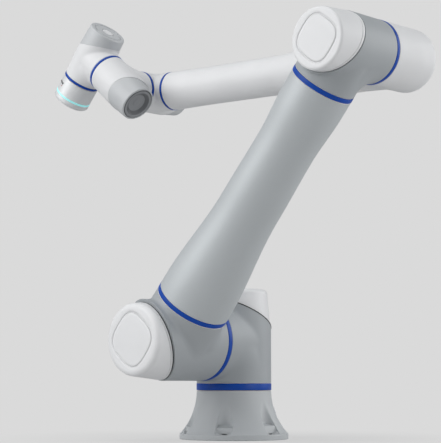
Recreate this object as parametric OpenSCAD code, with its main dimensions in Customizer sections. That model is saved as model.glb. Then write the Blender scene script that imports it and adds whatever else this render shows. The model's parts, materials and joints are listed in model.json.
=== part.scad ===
// Six-axis collaborative robot arm, bolted down by its foot, in millimetres.
// +Z is up and the origin is the centre of the foot's underside. The shoulder, elbow and first
// wrist axes run along Y; the arm is drawn in its rest pose, and every joint value is zero there.
//
// Each joint is built the same way. A mitred housing has a barrel along the joint axis and a branch
// towards the link that carries it; a drive fills the barrel, a cap closes its far end on a slanted
// seam, and the drive's output flange is bolted to the next link across the ring at the barrel's end.

/* [Arm] */
// Height of the shoulder axis above the floor
shoulder_z = 175; // [170:1:200]
// Length of the upper arm, from the shoulder axis to the elbow axis
upper_len = 607; // [520:1:700]
// Length of the forearm, from the elbow axis to the first wrist axis
fore_len = 565; // [480:1:640]
// Distance of the upper arm's centre line from the base axis
arm_offset = 165; // [160:1:185]
// Distance of the forearm's centre line from the base axis
fore_offset = 28.5; // [24:0.5:32]
// Distance of the second wrist centre from the forearm's centre line
wrist_offset = 86; // [84:0.5:100]
// Distance between the second and the third wrist centre
wrist_len = 102; // [100:0.5:120]

/* [Rest pose] */
// Lean of the upper arm from upright, towards +X
upper_lean = 39.6; // [0:0.1:60]
// Angle of the forearm from upright, towards +X
fore_lean = -89.2; // [-100:0.1:-60]
// Angle of the second wrist axis from upright, towards +X
wrist_lean = -49.6; // [-80:0.1:-20]

/* [Foot] */
// Diameter of the foot's flange
foot_d = 197; // [190:1:220]
// Thickness of the foot's flange
foot_t = 10.5; // [8:0.5:14]
// Height of the seam on top of the foot
foot_seam = 88; // [80:0.5:92]
// Number of holding-down bolts
bolt_count = 6; // [4:1:8]
// Distance of the holding-down holes from the flange's rim
bolt_edge = 13.5; // [11:0.5:16]
// Diameter of the holding-down holes
bolt_d = 9; // [6.5:0.5:11]
// Radius of the bolt pockets round the holding-down holes
pocket_r = 15; // [13:0.5:17]
// Width of the flat land on top of the flange, outside the flare
land_w = 1.2; // [0.5:0.1:3]
// Depth of the bolt heads' spot faces below the flange's top
spot_t = 0.5; // [0.3:0.1:1.5]
// Diameter of the boss that carries the supply socket
boss_d = 44; // [40:1:50]
// Height of the supply socket above the floor
socket_z = 44; // [38:1:50]

/* [Base joint] */
// Radius of the base joint's barrel
base_r = 68; // [64:0.5:72]
// Height of the base joint's cap above the shoulder axis
base_cap = 95; // [90:0.5:110]
// Width of the ring below the base joint
base_ring_w = 12; // [8:0.5:14]

/* [Shoulder joint] */
// Radius of the shoulder joint's barrel
shoulder_r = 70.3; // [66:0.1:74]
// Distance of the shoulder seam from the base axis
shoulder_seam = 82.8; // [78:0.1:88]
// Distance of the shoulder cap's face from the upper arm's centre line
shoulder_cap = 97; // [92:0.5:110]
// Width of the ring at the shoulder joint
shoulder_ring_w = 9; // [6:0.5:11]
// Distance of the lower end of the upper arm tube from the shoulder axis
lower_tube_x = 86.4; // [84:0.1:96]
// Radius of the upper arm tube at its lower end
lower_tube_r = 66; // [60:0.5:68]

/* [Elbow joint] */
// Radius of the elbow joint's barrel
elbow_r = 55; // [52:0.5:58]
// Distance of the elbow seam from the base axis, along the elbow axis
elbow_seam = 90.4; // [86:0.1:94]
// Distance of the elbow cap's face from the upper arm's centre line
elbow_cap = 76; // [72:0.5:90]
// Width of the ring at the elbow joint
elbow_ring_w = 7; // [5:0.5:9]
// Distance of the upper end of the upper arm tube from the elbow axis
upper_tube_x = 76.6; // [74:0.1:90]
// Radius of the upper arm tube at its upper end
upper_tube_r = 55; // [50:0.5:56]
// Radius of the upper arm tube at its waist
upper_waist_r = 50.5; // [46:0.5:52]
// Radius of the upper arm tube where its lower bell ends
upper_bell_r = 52.5; // [50:0.5:56]
// Width of the rings at the ends of the upper arm tube
tube_ring_w = 8; // [5:0.5:10]
// Distance of the forearm elbow's closed end beyond the forearm's centre line
elbow_back = 53.5; // [50:0.5:62]
// Rounding of the forearm elbow's closed end
elbow_round = 20; // [10:0.5:26]

/* [Wrist joints] */
// Radius of the wrist joints' barrels
wrist_r = 37.4; // [36:0.1:40]
// Distance of the first wrist seam from the forearm's centre line
wrist1_seam = 42.3; // [42:0.1:46]
// Distance of the second wrist seam from the second wrist centre
wrist2_seam = 53.7; // [50:0.1:56]
// Distance of the third wrist seam from the third wrist centre
wrist3_seam = 51.9; // [48:0.1:56]
// Distance of the first wrist cap's face from its joint centre
wrist1_cap = 60; // [56:0.5:70]
// Distance of the second wrist cap's face from its joint centre
wrist2_cap = 56; // [54:0.5:70]
// Distance of the third wrist cap's face from its joint centre
wrist3_cap = 59.5; // [56:0.5:70]
// Width of the rings at the wrist joints
wrist_ring_w = 4.5; // [3:0.5:6]
// Radius of the forearm tube at the wrist
fore_tube_r = 36; // [35.5:0.1:37]
// Radius of the forearm tube along its slim stretch
fore_waist_r = 34.9; // [33:0.1:35.4]
// Length of the forearm tube's taper behind the elbow
fore_taper = 180; // [100:1:220]
// Distance of the forearm tube's end from the first wrist axis
fore_tube_x = 53; // [50:0.5:60]

/* [Tool end] */
// Radius of the tool end
tool_r = 35; // [33:0.5:37]
// Distance of the tool face from the third wrist centre
tool_face = 100; // [96:0.5:115]
// Distance of the light ring from the third wrist centre
light_z = 84.5; // [80:0.5:90]
// Width of the light ring
light_w = 3.5; // [2:0.5:5]
// Diameter of the tool flange's mating face
flange_d = 63; // [63:1:66]
// Bolt circle of the tool flange
flange_pcd = 50; // [48:0.5:52]
// Core diameter of the tool flange's threaded holes
flange_hole_d = 5; // [4.5:0.1:6.8]
// Diameter of the tool flange's centring bore
centring_d = 31.5; // [28:0.5:34]
// Depth of the tool flange's centring bore
centring_t = 6.2; // [4:0.2:8]
// Diameter of a button on the tool end
button_d = 4.4; // [3:0.1:6]
// Distance of the buttons from the third wrist centre
button_z = 67; // [62:0.5:74]

/* [Walls and fits] */
// Wall of the large housings
wall = 7; // [6:0.5:9]
// Wall of the wrist housings
wrist_wall = 5; // [4.5:0.5:6]
// Wall of the caps
cap_wall = 3; // [2:0.5:4]
// Wall of the arm tubes
tube_wall = 4; // [3:0.5:6]
// Thickness of the coloured rings
ring_t = 2.4; // [1.5:0.1:3]
// Height by which a ring stands proud of its neck's housing
ring_proud = 0.3; // [0:0.1:0.6]
// Thickness of the cap gaskets
gasket_t = 1.2; // [0.8:0.1:2]
// Gap of the seams between links that turn
seam_gap = 0.5; // [0.4:0.1:1]
// Radial clearance of the drives' running fits
run_fit = 0.05; // [0.02:0.01:0.1]
// Clearance of pieces that seat in a pocket
seat_fit = 0.1; // [0.05:0.05:0.3]

/* [Hidden] */
$fn = 96;
eps = 0.01;
far = 400;

// Colours
casting = "#969a9e";
white_shell = "#e2e2e3";
silver_tube = "#bcc0c3";
cap_grey = "#c6c8ca";
trim_blue = "#0a4fc8";
dark_rubber = "#2b2c2e";
drive_steel = "#8d9196";

// Directions in the arm's plane, by their angle from upright towards +X
function lean(a) = [sin(a), 0, cos(a)];
upper_dir = lean(upper_lean);
fore_dir = lean(fore_lean);
wrist2_dir = lean(wrist_lean);
wrist3_dir = lean(wrist_lean - 90);

// Joint centres
base_c = [0, 0, shoulder_z];
shoulder_c = [0, -arm_offset, shoulder_z];
elbow_c = shoulder_c + upper_len * upper_dir;
fore_c = [elbow_c[0], -fore_offset, elbow_c[2]];
wrist1_c = fore_c + fore_len * fore_dir;
wrist2_c = wrist1_c + [0, -wrist_offset, 0];
wrist3_c = wrist2_c + wrist_len * wrist2_dir;

// A joint: barrel radius, its radius at the seam, seam distance, ring width, branch length,
// branch radius at its end, width of the branch's ring neck, cap distance, cap face radius,
// cap edge rounding, wall, output flange thickness
base_j = [base_r, base_r - 0.3, shoulder_z - foot_seam, base_ring_w, shoulder_seam - seam_gap,
    shoulder_r, 0, base_cap, base_r - 7, 9, wall, 8];
shoulder_j = [shoulder_r, shoulder_r, arm_offset - shoulder_seam, shoulder_ring_w, lower_tube_x,
    lower_tube_r, tube_ring_w, shoulder_cap, shoulder_r - 7.5, 10, wall, 8];
elbow_j = [elbow_r, elbow_r - 1, arm_offset - elbow_seam, elbow_ring_w, upper_tube_x,
    upper_tube_r, tube_ring_w, elbow_cap, elbow_r - 4.5, 4.5, wall, 8];
wrist1_j = [wrist_r, wrist_r - 0.3, wrist1_seam, wrist_ring_w, fore_tube_x,
    fore_tube_r, wrist_ring_w, wrist1_cap, wrist_r - 3.5, 2.5, wrist_wall, 6];
wrist2_j = [wrist_r, wrist_r - 0.2, wrist2_seam, wrist_ring_w,
    wrist_offset - wrist1_seam - seam_gap, wrist_r - 0.3, 0, wrist2_cap, wrist_r - 4, 2.5,
    wrist_wall, 6];
wrist3_j = [wrist_r, tool_r, wrist3_seam, wrist_ring_w, wrist_len - wrist2_seam - seam_gap,
    wrist_r - 0.2, 0, wrist3_cap, wrist_r - 2.4, 2.5, wrist_wall, 6];

function body_r(j) = j[0];
function seam_r(j) = j[1];
function seam_z(j) = j[2];
function ring_w(j) = j[3];
function branch_x(j) = j[4];
function branch_r(j) = j[5];
function neck_w(j) = j[6];
function cap_z(j) = j[7];
function face_r(j) = j[8];
function edge_r(j) = j[9];
function wall_of(j) = j[10];
function flange_t(j) = j[11];
function bore_r(j) = min(seam_r(j), body_r(j)) - wall_of(j);
// The output flange lies inside the next link's end and leaves a ledge to seat on
function output_r(j) = bore_r(j) - 3;
function spigot_r(j) = 0.6 * bore_r(j);
function hollow_r(j) = 0.26 * bore_r(j);
function ledge_r(j) = output_r(j) - 0.14 * bore_r(j);
function reducer_len(j) = 0.42 * bore_r(j);
function motor_len(j) = 0.62 * bore_r(j);
// Slant of every cap seam, and its distance from the joint centre
seam_slope = 25;
function cap_seam_z(j) = 0.68 * body_r(j);

// Puts its children at o, with their X along x and their Z along z
module place(o, x, z) {
    y = cross(z, x);
    multmatrix([
        [x[0], y[0], z[0], o[0]],
        [x[1], y[1], z[1], o[1]],
        [x[2], y[2], z[2], o[2]],
        [0, 0, 0, 1]
    ]) children();
}
module at_base() { place(base_c, [0, -1, 0], [0, 0, -1]) children(); }
module at_shoulder() { place(shoulder_c, upper_dir, [0, 1, 0]) children(); }
module at_elbow() { place(elbow_c, -upper_dir, [0, 1, 0]) children(); }
module at_fore() { place(fore_c, fore_dir, [0, -1, 0]) children(); }
module at_wrist1() { place(wrist1_c, -fore_dir, [0, -1, 0]) children(); }
module at_wrist2() { place(wrist2_c, [0, 1, 0], wrist2_dir) children(); }
module at_wrist3() { place(wrist3_c, -wrist2_dir, wrist3_dir) children(); }

// A turned solid from the half profile drawn by its children, X as radius and Y as height
module turned() { rotate_extrude() children(); }

module ring_at(r_out, r_in, z0, z1) {
    translate([0, 0, z0]) difference() {
        cylinder(r = r_out, h = z1 - z0);
        translate([0, 0, -1]) cylinder(r = r_in, h = z1 - z0 + 2);
    }
}

// Everything on the cap's side of a joint's slanted seam, moved on by shift
module beyond_seam(j, shift = 0) {
    translate([0, 0, -cap_seam_z(j) - shift / cos(seam_slope)])
        rotate([0, seam_slope, 0])
            translate([-far, -far, -2 * far]) cube(2 * far);
}

// Barrel of a joint housing, from beyond the cap's face to the seam, with the neck of its ring
module barrel(j) {
    neck_r = seam_r(j) - ring_t;
    turned() polygon([
        [0, -cap_z(j)], [body_r(j), -cap_z(j)], [body_r(j), 0],
        [seam_r(j), seam_z(j) - ring_w(j)], [neck_r, seam_z(j) - ring_w(j)],
        [neck_r, seam_z(j)], [0, seam_z(j)]
    ]);
}

// Branch of a joint housing along +X, with the neck of a fixed ring where it has one
module branch(j) {
    root_r = min(body_r(j) - 1, branch_r(j) + 3);
    neck_x = branch_x(j) - neck_w(j);
    rotate([0, 90, 0]) union() {
        cylinder(r1 = root_r, r2 = branch_r(j), h = neck_x);
        if (neck_w(j) > 0) cylinder(r = branch_r(j) - ring_t, h = branch_x(j));
    }
}

// Quarter bend that fills the throat between the barrel and the branch
module throat(j) {
    tube_r = min(seam_r(j), branch_r(j)) - 0.2;
    bend_r = min(seam_z(j) - ring_w(j), branch_x(j) - neck_w(j)) - 0.2;
    translate([bend_r, 0, bend_r]) rotate([90, 0, 0]) rotate([0, 0, 180])
        rotate_extrude(angle = 90) translate([bend_r, 0]) circle(r = tube_r);
}

// Outside of a mitred joint housing, up to its slanted cap seam
module housing_form(j) {
    difference() {
        union() {
            barrel(j);
            branch(j);
            throat(j);
        }
        beyond_seam(j);
    }
}

// Bore for the drive and the way through the branch
module housing_bores(j, next_bore_r) {
    translate([0, 0, -cap_z(j) - 1]) cylinder(r = bore_r(j), h = cap_z(j) + seam_z(j) + 2);
    rotate([0, 90, 0]) cylinder(r = next_bore_r, h = branch_x(j) + 1);
}

// Seat for the drive flange of the joint before, in the end of the branch
module branch_seat(j, before) {
    translate([branch_x(j) - flange_t(before), 0, 0]) rotate([0, 90, 0])
        cylinder(r = output_r(before) + seat_fit, h = flange_t(before) + 1);
}

// Housing whose branch ends in a seat for the joint before
module driven_housing(j, before) {
    difference() {
        housing_form(j);
        housing_bores(j, ledge_r(before));
        branch_seat(j, before);
    }
}

// Housing whose branch takes the spigot of an arm tube
module tube_housing(j) {
    difference() {
        housing_form(j);
        housing_bores(j, branch_r(j) - ring_t - spigot_step);
    }
}

// Points of a quarter round of radius e, from the side of radius f down to the end at -z
function lower_round(f, z, e, steps = 10) =
    [for (i = [0:steps]) let (a = 90 * i / steps) [f - e + e * cos(a), e - z - e * sin(a)]];

// Half profile of a cap, its face down at -cap_z, inset by the given wall
module cap_profile(j, inset) {
    r = body_r(j) - inset;
    f = face_r(j) - inset;
    top = 0.2 * body_r(j);
    polygon(concat(
        [[0, 0], [r, 0], [r, -top]],
        lower_round(f, cap_z(j) - inset, max(edge_r(j) - inset, 1)),
        [[0, inset - cap_z(j)]]
    ));
}

// Cap shell, cut off at its seam; start is its distance from the housing's edge
module cap_shell(j, start) {
    difference() {
        turned() cap_profile(j, 0);
        turned() cap_profile(j, cap_wall);
        difference() {
            translate([0, 0, -cap_z(j) - 1]) cylinder(r = body_r(j) + 1, h = cap_z(j) + 2);
            beyond_seam(j, start);
        }
    }
}

// Seal behind a cap; its rim stands proud of the barrel, or below it where proud is negative
module cap_gasket(j, proud = -0.6) {
    difference() {
        translate([0, 0, -cap_z(j)]) cylinder(r = body_r(j) + proud, h = cap_z(j));
        translate([0, 0, -cap_z(j) - 1]) cylinder(r = bore_r(j), h = cap_z(j) + 2);
        beyond_seam(j, gasket_t);
        difference() {
            translate([0, 0, -cap_z(j) - 1]) cylinder(r = body_r(j) + 2, h = cap_z(j) + 2);
            beyond_seam(j);
        }
    }
}

// Square with bulging sides, half width a
module squircle(a, power = 3, steps = 72) {
    polygon([for (i = [0:steps - 1]) let (
        t = 360 * i / steps,
        r = a / pow(pow(abs(cos(t)), power) + pow(abs(sin(t)), power), 1 / power)
    ) [r * cos(t), r * sin(t)]]);
}

panel_t = 1.4;
panel_gap = 1.3;
module panel_recess(j, a) {
    translate([0, 0, -cap_z(j) - 1]) linear_extrude(1 + panel_t) squircle(a);
}
module cap_panel(j, a) {
    translate([0, 0, -cap_z(j)]) linear_extrude(panel_t) squircle(a - panel_gap);
}

// Outline of an arm tube as [radius, place] points, eased between its stations
flow_steps = 10;
function ease(t) = (1 - cos(180 * t)) / 2;
function flowing(stations) = concat(
    [for (i = [0:len(stations) - 2]) for (k = [0:flow_steps - 1]) let (
        a = stations[i],
        b = stations[i + 1],
        t = k / flow_steps
    ) if (k == 0 || a[0] != b[0]) [a[0] + (b[0] - a[0]) * ease(t), a[1] + (b[1] - a[1]) * t]],
    [stations[len(stations) - 1]]
);

// Thin-walled tube with a spigot at each end that enters the necks of its neighbours
spigot = 14;
spigot_step = 3;
module arm_tube(outline) {
    last = len(outline) - 1;
    in0 = outline[0][0] - ring_t - spigot_step - seat_fit;
    in1 = outline[last][0] - ring_t - spigot_step - seat_fit;
    bore = [for (i = [last - 1:-1:1]) [outline[i][0] - 2 * tube_wall - spigot_step, outline[i][1]]];
    turned() polygon(concat(
        [[in0 - tube_wall, outline[0][1] - spigot], [in0, outline[0][1] - spigot],
            [in0, outline[0][1]]],
        outline,
        [[in1, outline[last][1]], [in1, outline[last][1] + spigot],
            [in1 - tube_wall, outline[last][1] + spigot]],
        bore
    ));
}

// Drive pieces, all turned about the joint axis
module output_flange(j) {
    spigot_len = 0.7 * reducer_len(j);
    bolt_r = (output_r(j) + spigot_r(j)) / 2;
    difference() {
        union() {
            translate([0, 0, seam_z(j) + seam_gap]) cylinder(r = output_r(j), h = flange_t(j));
            translate([0, 0, seam_z(j) - spigot_len])
                cylinder(r = spigot_r(j), h = spigot_len + seam_gap + 1);
        }
        translate([0, 0, seam_z(j) - spigot_len - 1])
            cylinder(r = hollow_r(j) + 2, h = spigot_len + flange_t(j) + 10);
        for (i = [0:7]) rotate([0, 0, 45 * i + 22.5])
            translate([bolt_r, 0, seam_z(j) - 1]) cylinder(r = 0.045 * bore_r(j), h = 20, $fn = 24);
    }
}

module reducer(j) {
    z1 = seam_z(j) - 1;
    z0 = z1 - reducer_len(j);
    difference() {
        turned() polygon([
            [spigot_r(j) + run_fit, z0 + 4], [spigot_r(j) + run_fit, z1],
            [bore_r(j) - 4, z1], [bore_r(j) - seat_fit, z1 - 4], [bore_r(j) - seat_fit, z0 + 4],
            [bore_r(j) - 5, z0 + 4], [bore_r(j) - 5, z0], [hollow_r(j) + 3, z0],
            [hollow_r(j) + 3, z0 + 4]
        ]);
        for (i = [0:11]) rotate([0, 0, 30 * i])
            translate([bore_r(j) - 7, 0, z1 - 8]) cylinder(r = 0.035 * bore_r(j), h = 10, $fn = 24);
    }
}

module motor(j) {
    z1 = seam_z(j) - 1 - reducer_len(j);
    z0 = z1 - motor_len(j);
    can_r = bore_r(j) - seat_fit;
    turned() polygon([
        [hollow_r(j), z0 - 8], [hollow_r(j), z1 + 0.9 * reducer_len(j)],
        [hollow_r(j) + 1.5, z1 + 0.9 * reducer_len(j)], [hollow_r(j) + 1.5, z1 - 2],
        [can_r - 8, z1 - 2], [can_r - 8, z1 - 5], [can_r, z1 - 5], [can_r, z0 + 9],
        [can_r - 5, z0 + 4], [can_r - 12, z0], [hollow_r(j) + 8, z0], [hollow_r(j) + 8, z0 - 8]
    ]);
}

// Coloured ring on the neck at a barrel's end
module seam_ring(j) {
    ring_at(seam_r(j) + ring_proud, seam_r(j) - ring_t + seat_fit, seam_z(j) - ring_w(j),
        seam_z(j));
}

// Coloured ring on the neck at a branch's end
module branch_ring(j) {
    rotate([0, 90, 0]) ring_at(branch_r(j) + ring_proud, branch_r(j) - ring_t + seat_fit,
        branch_x(j) - neck_w(j), branch_x(j));
}

// ---------------------------------------------------------------- foot

foot_top = foot_seam - seam_gap;
foot_top_r = seam_r(base_j);
foot_r = foot_d / 2;
// The hollow flare from the foot's top down to its flange: its width, and the radius, sweep and
// steps of the arc that it is turned from
flare_w = foot_r - land_w - foot_top_r;
flare_r = (pow(flare_w, 2) + pow(foot_top - foot_t, 2)) / (2 * flare_w);
flare_sweep = 2 * atan(flare_w / (foot_top - foot_t));
flare_steps = 20;

module foot_form() {
    turned() polygon(concat([[0, 0], [foot_r, 0], [foot_r, foot_t]],
        [for (i = [0:flare_steps]) let (a = flare_sweep * (1 - i / flare_steps))
            [foot_top_r + flare_r * (1 - cos(a)), foot_top - flare_r * sin(a)]],
        [[0, foot_top]]));
}

// Pocket that makes room for a bolt's head: a round back, open to the rim. Where it meets the
// hollow flare its outline runs up to a point.
bolt_pcd = foot_d - 2 * bolt_edge;
pocket_floor = foot_t - spot_t;
pocket_side = pocket_r - 0.5;
module bolt_pocket() {
    translate([bolt_pcd / 2, 0, pocket_floor]) union() {
        cylinder(r = pocket_r, h = foot_top);
        translate([0, -pocket_side, 0]) cube([foot_d, 2 * pocket_side, foot_top]);
    }
}

boss_face = foot_r - 8;
module base_foot() {
    color(casting) difference() {
        union() {
            foot_form();
            translate([0, 0, socket_z]) rotate([-90, 0, 0]) cylinder(d = boss_d, h = boss_face);
        }
        // hollow, with the ledge of the base joint's output flange
        translate([0, 0, foot_t]) cylinder(r = ledge_r(base_j), h = foot_top);
        translate([0, 0, foot_top - flange_t(base_j)])
            cylinder(r = output_r(base_j) + seat_fit, h = foot_top);
        for (i = [0:bolt_count - 1]) rotate([0, 0, 360 * i / bolt_count]) {
            bolt_pocket();
            translate([bolt_pcd / 2, 0, -1]) cylinder(d = bolt_d, h = foot_t + 2);
        }
        translate([0, 0, socket_z]) rotate([-90, 0, 0])
            cylinder(d = socket_body_d + 2 * seat_fit, h = boss_face + 1);
    }
}

// Supply socket: a flange screwed on the boss, a threaded nose and six contact pins
socket_body_d = 26;
socket_flange_t = 4;
socket_depth = 20;
socket_nose = 12;
socket_wall = 2.5;
pin_pcd = 12;
pin_d = 2;
pin_len = 9;
screw_d = 3.2;
module base_socket() {
    flange_r = boss_d / 2 - 3;
    color(drive_steel) translate([0, boss_face, socket_z]) rotate([-90, 0, 0]) union() {
        difference() {
            union() {
                cylinder(r = flange_r, h = socket_flange_t);
                translate([0, 0, -socket_depth])
                    cylinder(d = socket_body_d, h = socket_depth + eps);
                cylinder(d = socket_body_d, h = socket_nose);
            }
            translate([0, 0, -socket_nose / 2])
                cylinder(d = socket_body_d - 2 * socket_wall, h = 2 * socket_nose);
            for (i = [0:3]) rotate([0, 0, 90 * i + 45]) translate([flange_r - 3, 0, -1])
                cylinder(d = screw_d, h = socket_flange_t + 2, $fn = 24);
        }
        for (i = [0:5]) rotate([0, 0, 60 * i]) translate([pin_pcd / 2, 0, -socket_nose / 2 - 1])
            cylinder(d = pin_d, h = pin_len, $fn = 24);
    }
}
module base_output() { color(drive_steel) at_base() output_flange(base_j); }

// ---------------------------------------------------------------- shoulder

panel_base = 0.6 * base_r;
module shoulder_housing() { color(casting) at_base() driven_housing(base_j, shoulder_j); }
module shoulder_gasket() { color(dark_rubber) at_base() cap_gasket(base_j, 0.4); }
module shoulder_top_cap() {
    color(white_shell) at_base() difference() {
        cap_shell(base_j, gasket_t);
        panel_recess(base_j, panel_base);
    }
}
module shoulder_top_panel() { color(white_shell) at_base() cap_panel(base_j, panel_base); }
module base_ring() { color(trim_blue) at_base() seam_ring(base_j); }
module base_motor() { color(drive_steel) at_base() motor(base_j); }
module base_reducer() { color(drive_steel) at_base() reducer(base_j); }
module shoulder_output() { color(drive_steel) at_shoulder() output_flange(shoulder_j); }

// ---------------------------------------------------------------- upper arm

panel_shoulder = 0.6 * shoulder_r;
panel_elbow = 0.65 * elbow_r;
module lower_joint_housing() { color(casting) at_shoulder() tube_housing(shoulder_j); }
module lower_joint_gasket() { color(dark_rubber) at_shoulder() cap_gasket(shoulder_j); }
module lower_joint_cap() {
    color(white_shell) at_shoulder() difference() {
        cap_shell(shoulder_j, gasket_t);
        panel_recess(shoulder_j, panel_shoulder);
    }
}
module lower_joint_panel() { color(white_shell) at_shoulder() cap_panel(shoulder_j, panel_shoulder); }
module shoulder_ring() { color(trim_blue) at_shoulder() seam_ring(shoulder_j); }
module shoulder_motor() { color(drive_steel) at_shoulder() motor(shoulder_j); }
module shoulder_reducer() { color(drive_steel) at_shoulder() reducer(shoulder_j); }
module lower_tube_ring() { color(trim_blue) at_shoulder() branch_ring(shoulder_j); }

// The tubes stay straight for a short land beside each ring before they taper
bell_land = 8;
top_land = 30;
root_land = 18;
end_taper = 110;
module upper_arm_tube() {
    x0 = lower_tube_x;
    x1 = upper_len - upper_tube_x;
    bell_x = x0 + 0.46 * (x1 - x0);
    waist_x = x0 + 0.73 * (x1 - x0);
    outline = flowing([
        [lower_tube_r, x0], [lower_tube_r, x0 + bell_land], [upper_bell_r, bell_x],
        [upper_waist_r, waist_x], [upper_tube_r, x1 - top_land], [upper_tube_r, x1]
    ]);
    color(silver_tube) at_shoulder() rotate([0, 90, 0]) arm_tube(outline);
}
module upper_tube_ring() { color(trim_blue) at_elbow() branch_ring(elbow_j); }
module upper_joint_housing() { color(casting) at_elbow() tube_housing(elbow_j); }
module upper_joint_gasket() { color(dark_rubber) at_elbow() cap_gasket(elbow_j); }
module upper_joint_cap() {
    color(white_shell) at_elbow() difference() {
        cap_shell(elbow_j, gasket_t);
        panel_recess(elbow_j, panel_elbow);
    }
}
module upper_joint_panel() { color(white_shell) at_elbow() cap_panel(elbow_j, panel_elbow); }
module elbow_ring() { color(trim_blue) at_elbow() seam_ring(elbow_j); }
module elbow_motor() { color(drive_steel) at_elbow() motor(elbow_j); }
module elbow_reducer() { color(drive_steel) at_elbow() reducer(elbow_j); }

// ---------------------------------------------------------------- forearm

fore_seam = elbow_seam - fore_offset - seam_gap;
fore_root_r = elbow_r - 6;
module elbow_output() { color(drive_steel) at_elbow() output_flange(elbow_j); }
module elbow_form() {
    turned() polygon(concat(
        [[0, fore_seam], [seam_r(elbow_j), fore_seam]],
        lower_round(seam_r(elbow_j), elbow_back, elbow_round, 16),
        [[0, -elbow_back]]
    ));
}
elbow_branch = elbow_r + 12;
module forearm_elbow() {
    color(white_shell) at_fore() difference() {
        union() {
            elbow_form();
            rotate([0, 90, 0]) cylinder(r1 = fore_root_r + 2, r2 = fore_root_r, h = elbow_branch);
        }
        translate([0, 0, wall - elbow_back + 8])
            cylinder(r = ledge_r(elbow_j), h = elbow_back + fore_seam);
        translate([0, 0, fore_seam - flange_t(elbow_j)])
            cylinder(r = output_r(elbow_j) + seat_fit, h = flange_t(elbow_j) + 1);
        rotate([0, 90, 0]) cylinder(r = fore_root_r - ring_t - spigot_step, h = elbow_branch + 1);
    }
}
module forearm_tube() {
    x0 = elbow_branch;
    x1 = fore_len - fore_tube_x;
    outline = flowing([
        [fore_root_r, x0], [fore_root_r, x0 + root_land],
        [fore_waist_r, x0 + root_land + fore_taper],
        [fore_waist_r, x1 - end_taper], [fore_tube_r, x1]
    ]);
    color(white_shell) at_fore() rotate([0, 90, 0]) arm_tube(outline);
}
module forearm_ring() { color(trim_blue) at_wrist1() branch_ring(wrist1_j); }
module wrist_1_housing() { color(white_shell) at_wrist1() tube_housing(wrist1_j); }

// Dished end cover of a wrist cap
dish_r = 0.78 * wrist_r;
dish_t = 6;
module dish_hole(j) {
    translate([0, 0, -cap_z(j) - 1]) cylinder(r = dish_r + seat_fit, h = dish_t + cap_wall + 1);
}
module dish(j) {
    face = -cap_z(j);
    floor_z = face + dish_t - 1.6;
    turned() polygon([
        [0, floor_z], [0.5 * dish_r, floor_z], [0.62 * dish_r, floor_z + 0.6],
        [0.8 * dish_r, face + 1.5], [0.86 * dish_r, face], [dish_r, face],
        [dish_r, face + dish_t + cap_wall], [0, face + dish_t + cap_wall]
    ]);
}
module wrist_1_cap() {
    color(cap_grey) at_wrist1() difference() {
        cap_shell(wrist1_j, 0);
        dish_hole(wrist1_j);
    }
}
module wrist_1_dish() { color(casting) at_wrist1() dish(wrist1_j); }
module wrist_1_ring() { color(trim_blue) at_wrist1() seam_ring(wrist1_j); }
module wrist_1_motor() { color(drive_steel) at_wrist1() motor(wrist1_j); }
module wrist_1_reducer() { color(drive_steel) at_wrist1() reducer(wrist1_j); }

// ---------------------------------------------------------------- second wrist

module wrist_1_output() { color(drive_steel) at_wrist1() output_flange(wrist1_j); }
module wrist_2_housing() { color(white_shell) at_wrist2() driven_housing(wrist2_j, wrist1_j); }
module wrist_2_cap() {
    color(cap_grey) at_wrist2() difference() {
        cap_shell(wrist2_j, 0);
        dish_hole(wrist2_j);
    }
}
module wrist_2_dish() { color(casting) at_wrist2() dish(wrist2_j); }
module wrist_2_ring() { color(trim_blue) at_wrist2() seam_ring(wrist2_j); }
module wrist_2_motor() { color(drive_steel) at_wrist2() motor(wrist2_j); }
module wrist_2_reducer() { color(drive_steel) at_wrist2() reducer(wrist2_j); }

// ---------------------------------------------------------------- third wrist

disc_r = 11;
disc_t = 1.5;
module wrist_2_output() { color(drive_steel) at_wrist2() output_flange(wrist2_j); }
module wrist_3_housing() { color(white_shell) at_wrist3() driven_housing(wrist3_j, wrist2_j); }
module wrist_3_cap() {
    color(cap_grey) at_wrist3() difference() {
        cap_shell(wrist3_j, 0);
        translate([0, 0, -cap_z(wrist3_j) - 1]) cylinder(r = disc_r + seat_fit, h = disc_t + 1);
    }
}
module wrist_3_disc() {
    color("white") at_wrist3() translate([0, 0, -cap_z(wrist3_j)]) cylinder(r = disc_r, h = disc_t);
}
module wrist_3_ring() { color(trim_blue) at_wrist3() seam_ring(wrist3_j); }
module wrist_3_motor() { color(drive_steel) at_wrist3() motor(wrist3_j); }
module wrist_3_reducer() { color(drive_steel) at_wrist3() reducer(wrist3_j); }

// ---------------------------------------------------------------- tool end

tool_start = wrist3_seam + seam_gap;
flange_start = light_z + light_w;
lip_t = 3;
tool_bore_r = ledge_r(wrist3_j);
spigot_t = light_w + 4;
cable_bore_r = 10;
// Metal left below the threaded holes, and the locating hole's size
flange_floor = 2.5;
locating_d = 6;
locating_t = 8;
buttons_turn = 112;
button_step = 10;
button_len = 6;
button_out = 0.6;
module wrist_3_output() { color(drive_steel) at_wrist3() output_flange(wrist3_j); }
module button_hole(turn, d) {
    rotate([0, 0, turn]) translate([tool_bore_r - 2, 0, button_z]) rotate([0, 90, 0])
        cylinder(d = d, h = tool_r, $fn = 32);
}
module tool_housing() {
    color(white_shell) at_wrist3() difference() {
        union() {
            translate([0, 0, tool_start]) cylinder(r = tool_r, h = light_z - tool_start);
            translate([0, 0, light_z - eps]) cylinder(r = tool_r - ring_t, h = light_w + eps);
        }
        translate([0, 0, tool_start - 1]) cylinder(r = tool_bore_r, h = tool_face);
        translate([0, 0, tool_start - 1])
            cylinder(r = output_r(wrist3_j) + seat_fit, h = flange_t(wrist3_j) + 1);
        for (i = [-1:1]) button_hole(buttons_turn + i * button_step, button_d + 0.4);
        translate([0, 0, 5]) button_hole(buttons_turn - button_step, lamp_d + 2 * seat_fit);
    }
}
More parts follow.
